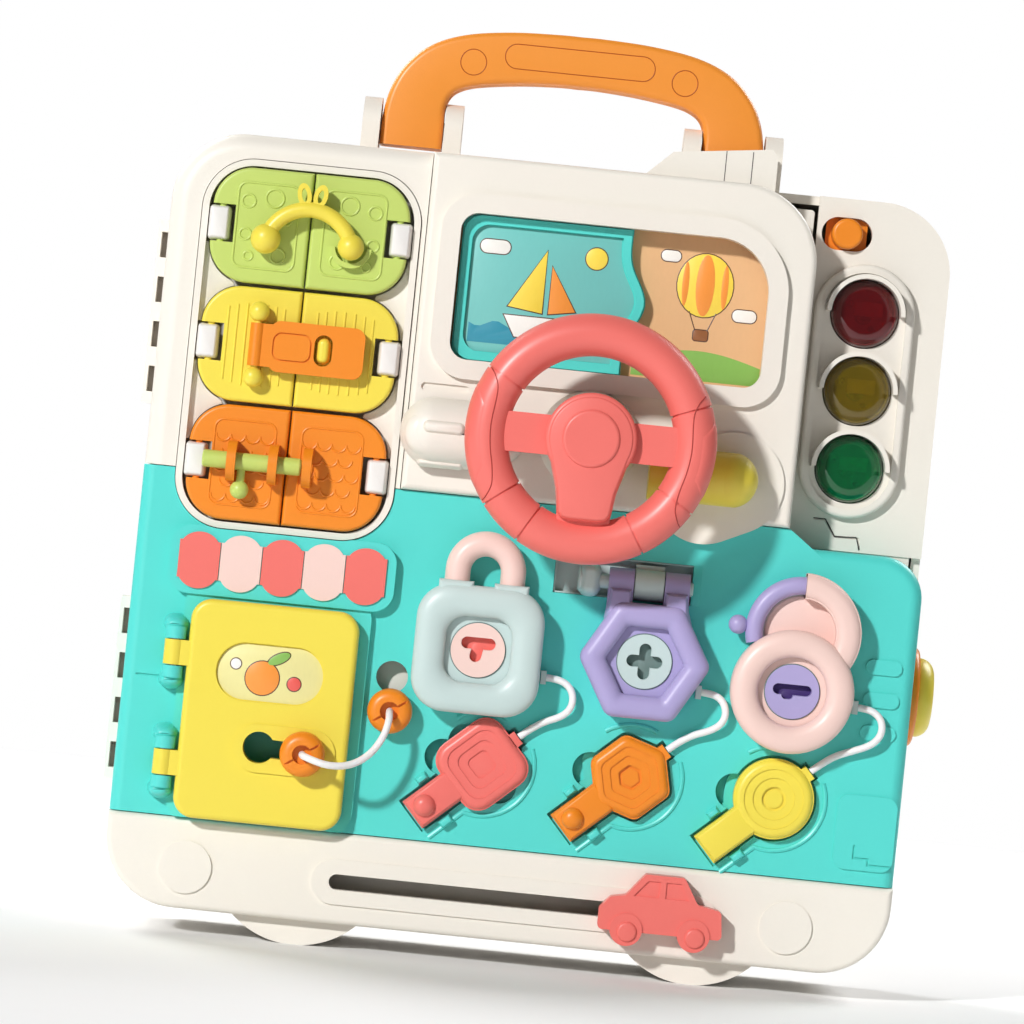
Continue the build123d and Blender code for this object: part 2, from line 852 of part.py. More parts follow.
lens_back, lens_front, lens_edge = -28.0, -16.0, 4.5
for name, z in zip(("lamp_red", "lamp_amber", "lamp_green"), lamp_z):
    with BuildPart() as lens:
        add(dome(lamp_x, z, lamp_radius, lens_back, lens_front, lens_edge))
        add(dome(lamp_x, z, lamp_radius - lens_wall, lens_back, lens_front - lens_wall,
                 lens_edge - lens_wall), mode=Mode.SUBTRACT)
        # snap collar behind the panel
        with BuildSketch(front(lens_back)):
            with Locations((lamp_x, z)):
                Circle(lamp_radius + 1.2)
                Circle(lamp_radius - lens_wall, mode=Mode.SUBTRACT)
        extrude(amount=-lens_back - front_depth - 0.1)
    save(lens.part, name)

with BuildPart() as lamp_board:
    with BuildSketch(front(lens_back - 1.8)):
        with Locations((lamp_x, lamp_z[1])):
            Rectangle(26, 80)
    extrude(amount=1.6)
    with BuildSketch(front(lens_back - 0.2)):
        with Locations(*[(lamp_x, z) for z in lamp_z]):
            Circle(2.5)
    extrude(amount=5.0)
    with BuildSketch(front(lens_back - 0.2)):
        for side in (-1, 1):
            for pair in (0, 1):
                with Locations((lamp_x + side * 11, (lamp_z[pair] + lamp_z[pair + 1]) / 2)):
                    Rectangle(2.4, 6)
    extrude(amount=0.2 - lens_back - front_depth)
save(lamp_board.part, "lamp_board")

with BuildPart() as slide_switch:
    with BuildSketch(front(-front_depth - 1.8)):
        add(block_sketch(switch_x - 7, switch_x + 7, switch_z - 7, switch_z + 7))
    extrude(amount=1.5)
    with BuildSketch(front(-front_depth - 0.5)):
        with Locations((switch_x, switch_z)):
            Circle(switch_radius)
    extrude(amount=8.5)
    fillet(slide_switch.faces().sort_by(Axis.Y)[0].edges(), radius=1.2)
save(slide_switch.part, "slide_switch")

# ---- Carry handle ----------------------------------------------------------------------------


handle_low = handle_pivot_z - 5.0
handle_out = handle_width / 2
handle_in = handle_out - handle_leg
bar_thick = 17.5
grip_length, grip_height, grip_ring_x = 50.0, 9.0, 35.5
grip_z = handle_top - bar_thick / 2 - 0.4
opening_top = handle_top - bar_thick

with BuildPart() as carry_handle:
    with BuildSketch(front(handle_mid - handle_thick / 2)) as bow:
        with BuildLine():
            Polyline((handle_in, handle_low), (handle_out, handle_low), (handle_out - 2, handle_low + 16),
                     (handle_out - 14, handle_top - 9), (handle_out - 34, handle_top - 1.5),
                     (34 - handle_out, handle_top - 1.5), (14 - handle_out, handle_top - 9),
                     (2 - handle_out, handle_low + 16), (-handle_out, handle_low), (-handle_in, handle_low),
                     (-handle_in, opening_top - 3.5), (16 - handle_in, opening_top),
                     (handle_in - 16, opening_top), (handle_in, opening_top - 3.5),
                     (handle_in, handle_low))
        make_face()
        fillet(bow.vertices().filter_by(lambda corner: abs(corner.X) > handle_in + 1
                                        and corner.Y > handle_low + 1), 14.0)
        fillet(bow.vertices().filter_by(lambda corner: abs(abs(corner.X) - handle_in) < 0.1
                                        and corner.Y > handle_low + 1), 7.0)
    extrude(amount=handle_thick)
    fillet(carry_handle.faces().sort_by(Axis.Y)[0].edges() + carry_handle.faces().sort_by(Axis.Y)[-1].edges(),
           radius=3.0)
    for side in (-1, 1):
        add(rod_x(handle_pivot_z, handle_mid, handle_pin_radius + running,
                  side * handle_pivot_x - handle_leg, side * handle_pivot_x + handle_leg), mode=Mode.SUBTRACT)
    # an outlined grip and a ring at each end of it, on both sides
    for face, inward in ((handle_mid + handle_thick / 2, -1), (handle_mid - handle_thick / 2, 1)):
        with BuildSketch(front(face)):
            add(stadium(0, grip_z, grip_length, grip_height))
            add(stadium(0, grip_z, grip_length - 2 * groove_width, grip_height - 2 * groove_width),
                mode=Mode.SUBTRACT)
            with Locations((-grip_ring_x, grip_z - 2.6), (grip_ring_x, grip_z - 2.6)):
                Circle(grip_height / 2)
                Circle(grip_height / 2 - groove_width, mode=Mode.SUBTRACT)
        extrude(amount=inward * groove_depth, mode=Mode.SUBTRACT)
save(carry_handle.part, "carry_handle")

post_out = handle_leg / 2 + slack + post_width
with BuildPart() as handle_brackets:
    for side in (-1, 1):
        centre = side * handle_pivot_x
        for edge in (-1, 1):
            near = centre + edge * (handle_leg / 2 + slack)
            far = near + edge * post_width
            add(block(min(near, far), max(near, far), case_top, handle_pivot_z,
                      handle_mid - post_radius, handle_mid + post_radius))
            add(rod_x(handle_pivot_z, handle_mid, post_radius, min(near, far), max(near, far)))
    for side in (-1, 1):
        add(rod_x(handle_pivot_z, handle_mid, handle_pin_radius + running,
                  side * handle_pivot_x - 2 * handle_leg, side * handle_pivot_x + 2 * handle_leg),
            mode=Mode.SUBTRACT)
save(handle_brackets.part, "handle_brackets")

with BuildPart() as hinge_pins:
    for side in (-1, 1):
        add(rod_x(handle_pivot_z, handle_mid, handle_pin_radius,
                  side * handle_pivot_x - post_out, side * handle_pivot_x + post_out))
    for hinge_z in shop_hinge_z:
        reach = shop_knuckle_length / 2 + slack + 3.6
        add(rod_z(shop_hinge_x, shop_hinge_height, shop_pin_radius, hinge_z - reach, hinge_z + reach))
save(hinge_pins.part, "hinge_pins")

# ---- Steering wheel --------------------------------------------------------------------------

def rim_seam(angle):
    """A thin cut round the rim's tube at an angle from the right."""
    turn = math.radians(angle)
    with BuildPart() as made:
        with BuildSketch(Plane(origin=(wheel_x, -rim_height, wheel_z),
                               x_dir=(math.cos(turn), 0, math.sin(turn)),
                               z_dir=(-math.sin(turn), 0, math.cos(turn)))):
            with Locations((rim_radius, 0)):
                Circle(rim_tube + 1)
                Circle(rim_tube - groove_depth, mode=Mode.SUBTRACT)
        extrude(amount=groove_width / 2, both=True)
    return made.part


with BuildPart() as steering_wheel:
    with BuildSketch(Plane(origin=(wheel_x, -rim_height, wheel_z), x_dir=(1, 0, 0), z_dir=(0, 0, 1))):
        with Locations((rim_radius, 0)):
            Circle(rim_tube)
    revolve(axis=Axis((wheel_x, -rim_height, wheel_z), (0, 1, 0)))
    # hub and three spokes
    with BuildSketch(front(hub_back)):
        with Locations((wheel_x, wheel_z)):
            Circle(hub_radius)
    extrude(amount=hub_thick)
    fillet(steering_wheel.edges().filter_by(GeomType.CIRCLE).sort_by(Axis.Y)[:1], radius=1.5)
    with BuildSketch(front(rim_height - 2)):
        with Locations((wheel_x, wheel_z)):
            Rectangle(2 * rim_radius, 13)
        with BuildLine():
            Polyline((wheel_x - 11, wheel_z), (wheel_x + 11, wheel_z), (wheel_x + 8, wheel_z - rim_radius),
                     (wheel_x - 8, wheel_z - rim_radius), close=True)
        make_face()
    extrude(amount=6.0)
    with BuildSketch(front(hub_back)):
        with Locations((wheel_x, wheel_z)):
            Circle(column_pin_radius + running)
    extrude(amount=column_pin_length + slack, mode=Mode.SUBTRACT)
    for angle in (21, 150, 217, 239, 300, 329):
        add(rim_seam(angle), mode=Mode.SUBTRACT)
    # seat of the hub cap
    with BuildSketch(front(hub_front)):
        with Locations((wheel_x, wheel_z)):
            Circle(hub_cap_radius + running)
    extrude(amount=-hub_cap_seat, mode=Mode.SUBTRACT)
save(steering_wheel.part, "steering_wheel")

with BuildPart() as hub_cap:
    add(dome(wheel_x, wheel_z, hub_cap_radius, hub_front - hub_cap_seat, hub_front + hub_cap_proud, 1.2))
save(hub_cap.part, "hub_cap")

# ---- Stalks beside the column ----------------------------------------------------------------

stalk_back = screen_proud + slack
stalk_bore = 8.5

with BuildPart() as turn_stalk:
    with BuildSketch(front(stalk_back)):
        tip = turn_stalk_x + turn_stalk_width / 2 - turn_stalk_length
        add(stadium(tip + turn_stalk_length / 2, turn_stalk_z, turn_stalk_length, turn_stalk_width))
    extrude(amount=12.0)
    fillet(turn_stalk.faces().sort_by(Axis.Y)[0].edges(), radius=5.0)
    for offset_z in (-2.5, 2.5):
        with BuildSketch(front(stalk_back + 12.0)):
            add(stadium(tip + 13, turn_stalk_z + offset_z, 14, 1.6))
        extrude(amount=-0.9, mode=Mode.SUBTRACT)
    with BuildSketch(front(stalk_back)):
        with Locations((turn_stalk_x, turn_stalk_z)):
            Circle(stalk_pin_radius + running)
    extrude(amount=stalk_bore, mode=Mode.SUBTRACT)
save(turn_stalk.part, "turn_stalk")

wiper_height = screen_proud + 1 + slack + wiper_stalk_radius
with BuildPart() as wiper_stalk:
    with BuildSketch(Plane(origin=(wiper_stalk_x - 7, -wiper_height, wiper_stalk_z), x_dir=(1, 0, 0),
                           z_dir=(0, 0, 1))):
        with BuildLine():
            dome = wiper_stalk_length - 7
            Polyline((dome, wiper_stalk_radius), (0, wiper_stalk_radius), (0, 0), (wiper_stalk_length, 0))
            ThreePointArc((wiper_stalk_length, 0), (dome + 5.2, wiper_stalk_radius * 0.66),
                          (dome, wiper_stalk_radius))
        make_face()
    revolve(axis=Axis((wiper_stalk_x, -wiper_height, wiper_stalk_z), (1, 0, 0)))
    with BuildSketch(front(screen_proud)):
        with Locations((wiper_stalk_x, wiper_stalk_z)):
            Circle(stalk_pin_radius + running)
    extrude(amount=stalk_bore + slack, mode=Mode.SUBTRACT)
save(wiper_stalk.part, "wiper_stalk")

# ---- Double doors ----------------------------------------------------------------------------


def leaf(side, row_z):
    """One door leaf; side is -1 on the left and 1 on the right, seen from the front."""
    outer = bay_x + side * (leaf_width + leaf_gap / 2)
    inner = bay_x + side * leaf_gap / 2
    hinge_x = outer - side * hinge_inset
    with BuildPart() as made:
        with BuildSketch(front(leaf_back)) as face:
            with Locations(((outer + inner) / 2, row_z)):
                Rectangle(leaf_width, leaf_height)
            fillet(face.vertices().filter_by(lambda corner: abs(corner.X - outer) < 0.1), leaf_corner)
        extrude(amount=leaf_thick)
        fillet(made.faces().sort_by(Axis.Y)[0].edges(), radius=1.2)
        notch_middle = outer - side * notch_depth / 2
        add(block(notch_middle - notch_depth / 2 - 1, notch_middle + notch_depth / 2 + 1,
                  row_z - notch_height / 2, row_z + notch_height / 2, leaf_back - 1, leaf_front + 1),
            mode=Mode.SUBTRACT)
        add(rod_z(hinge_x, hinge_height, hinge_pin_radius,
                  row_z - notch_height / 2 - 0.5, row_z + notch_height / 2 + 0.5))
    return made.part


green_row, yellow_row, orange_row = leaf_rows
latch_pivot = (-98.1, green_row - 4.3)
latch_rest = (latch_pivot[0] + swing_reach, latch_pivot[1])
hasp_x = -97.8
hasp_z = yellow_row + 0.2
hasp_height = hasp_lift + hasp_thick / 2
bolt_z = orange_row + 0.6
ring_x = (-101.9, -88.1, -76.7)
bolt_right = ring_x[2] - ring_tube - 0.6
bolt_knob_x = ring_x[0] + ring_tube + 1.4 + 0.5
nub_x = -75.4


def bolt_ring(x):
    """A ring on a leaf that the bolt slides through."""
    outer = bolt_ring_radius + ring_tube
    with BuildPart() as made:
        add(rod_x(bolt_z, bolt_height, outer, x - ring_tube, x + ring_tube))
        add(block(x - ring_tube, x + ring_tube, bolt_z - outer, bolt_z + outer, leaf_front, bolt_height))
        add(square_bore(bolt_z, bolt_height, bolt_radius + ring_gap, x - 2 * ring_tube, x + 2 * ring_tube),
            mode=Mode.SUBTRACT)
        add(block(x - 2 * ring_tube, x + 2 * ring_tube, bolt_z - 2 * outer, bolt_z + 2 * outer,
                  leaf_back, leaf_front), mode=Mode.SUBTRACT)
    return made.part


for name, side, row_z in (
    ("door_green_left", -1, green_row), ("door_green_right", 1, green_row),
    ("door_yellow_left", -1, yellow_row), ("door_yellow_right", 1, yellow_row),
    ("door_orange_left", -1, orange_row), ("door_orange_right", 1, orange_row),
):
    fixtures = []
    with BuildPart() as door:
        add(leaf(side, row_z))
        if name == "door_green_left":
            add(round_bar(*latch_pivot, 2.0, leaf_front - 0.5, swing_height - 1))
        if name == "door_yellow_left":
            for edge in (-1, 1):
                with Locations((hasp_x, -hasp_height, hasp_z + edge * (hasp_width / 2 + 2.4))):
                    Sphere(3.4)
                add(round_bar(hasp_x, hasp_z + edge * (hasp_width / 2 + 2.4), 2.6, leaf_front - 0.5,
                              hasp_height))
            add(rod_z(hasp_x, hasp_height, hinge_pin_radius, hasp_z - hasp_width / 2 - 1,
                      hasp_z + hasp_width / 2 + 1))
        if name == "door_yellow_right":
            with BuildSketch(front(leaf_front - 0.5)):
                add(stadium(nub_x, hasp_z, 9.2, 4.8, 90))
            extrude(amount=hasp_lift - leaf_front + 0.2)
    if name == "door_green_right":
        # open-topped cradle that the swing latch drops into
        with BuildPart() as cradle:
            with BuildSketch(front(leaf_front)):
                with Locations(latch_rest):
                    Circle(swing_ball + 1.9)
                    Circle(swing_ball + 0.3, mode=Mode.SUBTRACT)
                    Rectangle(20, 20, align=(Align.CENTER, Align.MIN), mode=Mode.SUBTRACT)
            extrude(amount=3.5)
        fixtures = [cradle.part]
    if name == "door_orange_left":
        fixtures = [bolt_ring(ring_x[0]), bolt_ring(ring_x[1])]
    if name == "door_orange_right":
        fixtures = [bolt_ring(ring_x[2])]
    save(together(door.part, *fixtures), name)

with BuildPart() as door_knuckles:
    for row_z in leaf_rows:
        for side in (-1, 1):
            hinge_x = bay_x + side * hinge_offset
            low, high = row_z - knuckle_height / 2, row_z + knuckle_height / 2
            add(rod_z(hinge_x, hinge_height, knuckle_radius, low, high))
            far = hinge_x + side * knuckle_radius
            near = hinge_x - side * 0.6
            add(block(min(near, far), max(near, far), low, high, bay_floor, hinge_height))
            add(rod_z(hinge_x, hinge_height, hinge_pin_radius + running, low - 1, high + 1),
                mode=Mode.SUBTRACT)
save(door_knuckles.part, "door_knuckles")

with BuildPart() as swing_latch:
    middle = (latch_pivot[0] + latch_rest[0]) / 2
    arch = latch_pivot[1] + 11.0
    with BuildLine(front(swing_height)) as latch_path:
        ThreePointArc(latch_pivot, (middle, arch), latch_rest)
    with BuildSketch(Plane(latch_path.line @ 0, z_dir=latch_path.line % 0)):
        Circle(swing_tube)
    sweep()
    with Locations((latch_pivot[0], -swing_height, latch_pivot[1])):
        Sphere(swing_ball)
    with Locations((latch_rest[0], -swing_height, latch_rest[1])):
        Sphere(swing_ball - 0.6)
    # two small loops on top of the arch
    for edge in (-1, 1):
        with BuildSketch(front(swing_height - 1.4)):
            with Locations(Location((middle + edge * 2.7, arch + 4.6, 0), (0, 0, -edge * 12))):
                Ellipse(2.3, 4.0)
                Ellipse(0.9, 2.2, mode=Mode.SUBTRACT)
        extrude(amount=2.8)
    add(block(latch_pivot[0] - 8, latch_pivot[0] + 8, latch_pivot[1] - 8, latch_pivot[1] + 8,
              0, leaf_front + 0.6), mode=Mode.SUBTRACT)
    add(round_bar(*latch_pivot, 2.0 + running, 0, swing_height - 0.7), mode=Mode.SUBTRACT)
save(swing_latch.part, "swing_latch")

with BuildPart() as hasp:
    barrel = hasp_width / 2 - 1.4
    add(rod_z(hasp_x, hasp_height, 2.4, hasp_z - barrel, hasp_z + barrel))
    with BuildSketch(front(hasp_lift)):
        with Locations((hasp_x + hasp_length / 2 + 2.2, hasp_z)):
            RectangleRounded(hasp_length - 4.4, hasp_width, 3.5)
        with Locations((hasp_x + 3, hasp_z)):
            Rectangle(6, 2 * barrel)
        add(stadium(nub_x, hasp_z, 10.4, 6.0, 90), mode=Mode.SUBTRACT)
    extrude(amount=hasp_thick)
    with BuildSketch(front(hasp_lift + hasp_thick)):
        with Locations((hasp_x + 12, hasp_z)):
            RectangleRounded(13, 9.5, 3)
            RectangleRounded(12, 8.5, 2.6, mode=Mode.SUBTRACT)
    extrude(amount=-0.6, mode=Mode.SUBTRACT)
    add(rod_z(hasp_x, hasp_height, hinge_pin_radius + running, hasp_z - 12, hasp_z + 12), mode=Mode.SUBTRACT)
save(hasp.part, "hasp")

with BuildPart() as door_bolt:
    add(rod_x(bolt_z, bolt_height, bolt_radius, bolt_right - bolt_length, bolt_right))
    chamfer(door_bolt.edges().filter_by(GeomType.CIRCLE), 0.5)
    add(rod_z(bolt_knob_x, bolt_height, 1.4, bolt_z - 9.4, bolt_z - 1))
    with Locations((bolt_knob_x, -bolt_height, bolt_z - 9.4)):
        Sphere(3.1)
save(door_bolt.part, "door_bolt")

# ---- Shop door and its cord lock -------------------------------------------------------------

shop_slot_hole = (-83.3, 65.1)
shop_bead = (-68.5, 64.6)
pad_proud = 0.8
bead_back = shop_front + pad_proud + 0.3

with BuildPart() as shop_door:
    with BuildSketch(front(shop_back)):
        with Locations((shop_x, shop_z)):
            RectangleRounded(shop_width, shop_height, shop_corner)
    extrude(amount=shop_thick)
    fillet(shop_door.faces().sort_by(Axis.Y)[0].edges(), radius=2.0)
    with BuildSketch(front(shop_front - 0.5)):
        add(stadium((shop_slot_hole[0] + shop_bead[0]) / 2 + 1, shop_bead[1] + 0.2, 34, 16))
    extrude(amount=0.5 + pad_proud)
    # sunk oval for a picture
    with BuildSketch(front(shop_front)):
        add(stadium(shop_x, shop_z + 13.6, 36, 19.5))
    extrude(amount=-1.2, mode=Mode.SUBTRACT)
    # keyhole: a round entry and a slot that holds the bead's neck
    with BuildSketch(front(shop_back - 1)):
        add(keyhole(shop_slot_hole, shop_bead))
    extrude(amount=shop_thick + 4, mode=Mode.SUBTRACT)
    for hinge_z in shop_hinge_z:
        low, high = hinge_z - shop_knuckle_length / 2, hinge_z + shop_knuckle_length / 2
        add(rod_z(shop_hinge_x, shop_hinge_height, shop_knuckle_radius, low, high))
        add(block(shop_hinge_x, shop_left + 1, low, high, shop_back + 0.4, shop_front - 0.4))
        add(rod_z(shop_hinge_x, shop_hinge_height, shop_pin_radius + running, low - 1, high + 1),
            mode=Mode.SUBTRACT)
save(shop_door.part, "shop_door")


def bead(x, z, back, neck_back, flange):
    """A split bead with a neck that sits in a keyhole slot, and a flange behind where it has one."""
    with BuildPart() as made:
        with BuildSketch(front(back)):
            with Locations((x, z)):
                Circle(bead_radius)
        extrude(amount=bead_thick)
        fillet(made.edges().filter_by(GeomType.CIRCLE), radius=3.2)
        with BuildSketch(front(neck_back)):
            with Locations((x, z)):
                Circle(bead_neck)
        extrude(amount=back - neck_back + 1)
        if flange:
            with BuildSketch(front(neck_back - 1.5)):
                with Locations((x, z)):
                    Circle(bead_neck + 2.0)
            extrude(amount=1.5)
        with BuildSketch(front(back + bead_thick - 3)):
            with Locations((x, z)):
                Circle(3.2)
        extrude(amount=3.0, mode=Mode.SUBTRACT)
        # the split across the face
        with BuildSketch(front(back + bead_thick - 1.2)):
            with Locations(Location((x, z, 0), (0, 0, 35))):
                Rectangle(2.4 * bead_radius, 0.7)
        extrude(amount=2.0, mode=Mode.SUBTRACT)
    return made.part


board_bead_back = 0.4
save(bead(*shop_bead, bead_back, shop_back - 0.3, True), "bead_lower")
save(bead(*board_bead, board_bead_back, -1.5, False), "bead_upper")


def cord(points):
    """A cord's tube along straight runs and tangent arcs; points are (x, z, height)."""
    corners = [Vector(x, -height, z) for x, z, height in points]
    radii = []
    for before, at, after in zip(corners, corners[1:], corners[2:]):
        first, second = at - before, after - at
        turn = math.radians(first.get_angle(second))
        radii.append(0.45 * min(first.length, second.length) / math.tan(turn / 2))
    with BuildPart() as made:
        with BuildLine():
            run = FilletPolyline(*corners, radius=radii)
        with BuildSketch(Plane(run @ 0, z_dir=run % 0)):
            Circle(cord_radius)
        sweep(path=run)
    even = made.part.volume / (math.pi * cord_radius**2 * run.length)
    print(f"cord {run.length:.1f} mm, volume ratio {even:.4f}, radii {[round(r, 1) for r in radii]}")
    return made.part


lower_seat = bead_back + bead_thick - 3
upper_seat = board_bead_back + bead_thick - 3
door_route = [
    (-68.5, 64.6, lower_seat), (-68.5, 64.6, 21.0), (-65.0, 63.6, 24.2), (-59.6, 62.2, 24.6),
    (-52.6, 62.6, 22.0), (-46.2, 66.6, 18.6), (-42.2, 73.2, 16.6), (-41.0, 79.0, 14.6),
    (-41.4, 81.3, 10.6), (-41.4, 81.3, upper_seat),
]
save(cord(door_route), "door_cord")

square_route = [
    (9.2, 97.5, 2.8), (13.6, 97.5, 2.8), (18.0, 94.8, 3.6), (19.1, 89.7, 4.4), (16.4, 85.3, 3.6),
    (7.84, 81.96, 2.1), (2.27, 76.94, 2.1),
]
hex_route = [
    (61.0, 97.8, 2.8), (65.4, 97.8, 2.8), (69.2, 95.0, 3.6), (70.0, 90.0, 4.4), (66.8, 85.9, 3.6),
    (57.34, 82.56, 2.1), (51.77, 77.54, 2.1),
]
round_route = [
    (113.3, 98.0, 2.8), (117.5, 98.0, 2.8), (121.7, 95.0, 3.6), (122.2, 89.9, 4.4), (118.9, 85.8, 3.8),
    (112.3, 83.2, 2.8), (105.54, 80.26, 2.1), (99.97, 75.24, 2.1),
]
for name, route in (("cord_square", square_route), ("cord_hex", hex_route), ("cord_round", round_route)):
    save(cord(route), name)

# ---- Padlocks --------------------------------------------------------------------------------

dial_back = 2.6
dial_floor = 9.0  # the dish that the dial sits in
lock_front = lock_lift + lock_thick


def dial(centre, wards):
    """A lock cylinder: a disc with a key opening made of the given slots."""
    with BuildPart() as made:
        with BuildSketch(front(dial_back)):
            with Locations(centre):
                Circle(dial_radius)
        extrude(amount=dial_floor + 0.8 - dial_back)
        with BuildSketch(front(dial_floor + 0.8)):
            with Locations(centre):
                for x, z, length, width, angle in wards:
                    with Locations(Location((x, z, 0), (0, 0, angle))):
                        SlotOverall(length, width)
        extrude(amount=-3.5, mode=Mode.SUBTRACT)
    return made.part


shackle_height = lock_lift + lock_thick / 2
shackle_arch = shackle_top - shackle_tube - shackle_spread

with BuildPart() as lock_square:
    with BuildSketch(front(lock_lift)):
        with Locations(square_lock):
            RectangleRounded(square_size, square_size, 14)
        for side in (-1, 1):
            with Locations((square_lock[0] + side * shackle_spread, square_lock[1] + square_size / 2 - 1.0)):
                Rectangle(2 * shackle_tube + 3.2, 5)
    extrude(amount=lock_thick)
    fillet(lock_square.faces().sort_by(Axis.Y)[0].edges(), radius=1.4)
    with BuildSketch(front(lock_front)):
        with Locations(square_lock):
            RectangleRounded(23, 23, 7)
    extrude(amount=dial_floor - lock_front, mode=Mode.SUBTRACT, taper=-18)
    add(round_bar(*square_lock, dial_radius + running, dial_back - 0.3, lock_front), mode=Mode.SUBTRACT)
    seat = square_lock[1] + square_size / 2 - shackle_seat
    for side in (-1, 1):
        add(rod_z(square_lock[0] + side * shackle_spread, shackle_height, shackle_tube + running, seat - 0.5,
                  seat + 20), mode=Mode.SUBTRACT)
save(lock_square.part, "lock_square")

with BuildPart() as shackle_square:
    with BuildLine(front(shackle_height)) as bow:
        left, right = square_lock[0] - shackle_spread, square_lock[0] + shackle_spread
        Line((left, seat), (left, shackle_arch))
        ThreePointArc((left, shackle_arch), (square_lock[0], shackle_arch + shackle_spread),
                      (right, shackle_arch))
        Line((right, shackle_arch), (right, seat))
    with BuildSketch(Plane(bow.line @ 0, z_dir=bow.line % 0)):
        Circle(shackle_tube)
    sweep(path=bow.line)
save(shackle_square.part, "shackle_square")
save(dial(square_lock, ((0, 2.2, 11.5, 4.0, 0), (-0.4, -0.8, 6.5, 4.0, 80))), "dial_square")

arm_x = [hex_lock[0] - 0.8 + side * arm_spread / 2 for side in (-1, 1)]
with BuildPart() as lock_hex:
    with BuildSketch(front(lock_lift)) as face:
        with Locations(hex_lock):
            RegularPolygon(radius=hex_radius, side_count=6)
        fillet(face.vertices(), 4.0)
    extrude(amount=lock_thick)
    fillet(lock_hex.faces().sort_by(Axis.Y)[0].edges(), radius=3.4)
    with BuildSketch(front(lock_front)):
        with Locations(hex_lock):
            RegularPolygon(radius=13.6, side_count=6)
    extrude(amount=dial_floor - lock_front, mode=Mode.SUBTRACT, taper=-18)
    add(round_bar(*hex_lock, dial_radius + running, dial_back - 0.3, lock_front), mode=Mode.SUBTRACT)

with BuildPart() as lock_arms:
    for x in arm_x:
        add(block(x - arm_width / 2, x + arm_width / 2, hex_lock[1] + 16, axle_z, lock_lift,
                  axle_height + arm_end))
        add(rod_x(axle_z, axle_height, arm_end, x - arm_width / 2, x + arm_width / 2))
    add(square_bore(axle_z, axle_height, axle_radius + axle_gap, arm_x[0] - 10, arm_x[1] + 10),
        mode=Mode.SUBTRACT)
    add(lock_hex.part, mode=Mode.SUBTRACT)
save(together(lock_hex.part, lock_arms.part), "lock_hex")

knob_left = axle_pocket[0] + 8.0
with BuildPart() as hex_axle:
    add(rod_x(axle_z, axle_height, axle_radius, knob_left, arm_x[1] + arm_width / 2 + 1.2))
    add(rod_x(axle_z, axle_height, axle_radius + 1.8, knob_left, knob_left + 5.5))
    chamfer(hex_axle.edges().filter_by(GeomType.CIRCLE), 0.5)
save(hex_axle.part, "hex_axle")

eyelets = ((square_route[0][0], square_route[0][1]), (hex_route[0][0], hex_route[0][1]),
           (round_route[0][0], round_route[0][1]))
with BuildPart() as board_eyelets:
    lug_x = sum(arm_x) / 2
    lug_half = (arm_spread - arm_width) / 2 - slack
    add(block(lug_x - lug_half, lug_x + lug_half, 127, 138, -6, 1.0))
    add(block(lug_x - lug_half, lug_x + lug_half, axle_z - arm_end, axle_z + arm_end, -6, axle_height))
    add(rod_x(axle_z, axle_height, arm_end, lug_x - lug_half, lug_x + lug_half))
    add(rod_x(axle_z, axle_height, axle_radius + axle_gap, lug_x - 10, lug_x + 10), mode=Mode.SUBTRACT)
    for x, z in eyelets:
        add(block(x - 1.8, x, z - 2.2, z + 2.2, 0, 5.2))
save(board_eyelets.part, "board_eyelets")
save(dial(hex_lock, ((0, 0, 12, 4.0, 0), (0, 0, 12, 4.0, 90))), "dial_hex")


def ring_sector(inner, outer, start, sweep_angle, back, fore):
    """A sector of a flat ring about the carabiner's centre."""
    with BuildPart() as made:
        with BuildSketch(front(back)):
            with BuildLine():
                one = PolarLine(ring_centre, outer, angle=start)
                two = CenterArc(ring_centre, outer, start, sweep_angle)
                Line(two @ 1, ring_centre)
            make_face()
            with Locations(ring_centre):
                Circle(inner, mode=Mode.SUBTRACT)
        extrude(amount=fore - back)
    return made.part


def ring_tube_arc(radius, start, sweep_angle):
    """A round tube bent about the carabiner's centre."""
    with BuildPart() as made:
        with BuildLine(front(shackle_height)) as arc:
            CenterArc(ring_centre, ring_radius, start, sweep_angle)
        with BuildSketch(Plane(arc.line @ 0, z_dir=arc.line % 0)):
            Circle(radius)
        sweep(path=arc.line)
    return made.part


with BuildPart() as lock_round:
    with BuildSketch(front(lock_lift)):
        with Locations(round_lock):
            Circle(round_radius)
    extrude(amount=lock_thick)
    fillet(lock_round.faces().sort_by(Axis.Y)[0].edges(), radius=lock_edge)
    with BuildSketch(front(lock_front)):
        with Locations(round_lock):
            Circle(12.0)
    extrude(amount=dial_floor - lock_front, mode=Mode.SUBTRACT, taper=-18)
    add(ring_sector(0.5, 11.6, -60, 300, lock_lift, lock_lift + 2.6))
    add(ring_sector(11.5, 19.7, -35, 125, lock_lift, lock_lift + 10.4))
    add(ring_tube_arc(carabiner_tube + 0.35, 30, 62), mode=Mode.SUBTRACT)
    add(ring_tube_arc(carabiner_tube + 0.35, 172, 30), mode=Mode.SUBTRACT)
    add(round_bar(*round_lock, dial_radius + running, dial_back - 0.3, lock_front), mode=Mode.SUBTRACT)
save(lock_round.part, "lock_round")

with BuildPart() as shackle_round:
    add(ring_tube_arc(carabiner_tube, 88, 108))
    knob_angle = math.radians(178)
    with Locations((ring_centre[0] + (ring_radius + 5.5) * math.cos(knob_angle), -shackle_height,
                    ring_centre[1] + (ring_radius + 5.5) * math.sin(knob_angle))):
        Sphere(3.2)
save(shackle_round.part, "shackle_round")
save(dial(round_lock, ((0, 0.6, 13, 3.6, 0), (-1.5, -1.2, 4, 2.8, 0))), "dial_round")

# ---- Keys ------------------------------------------------------------------------------------

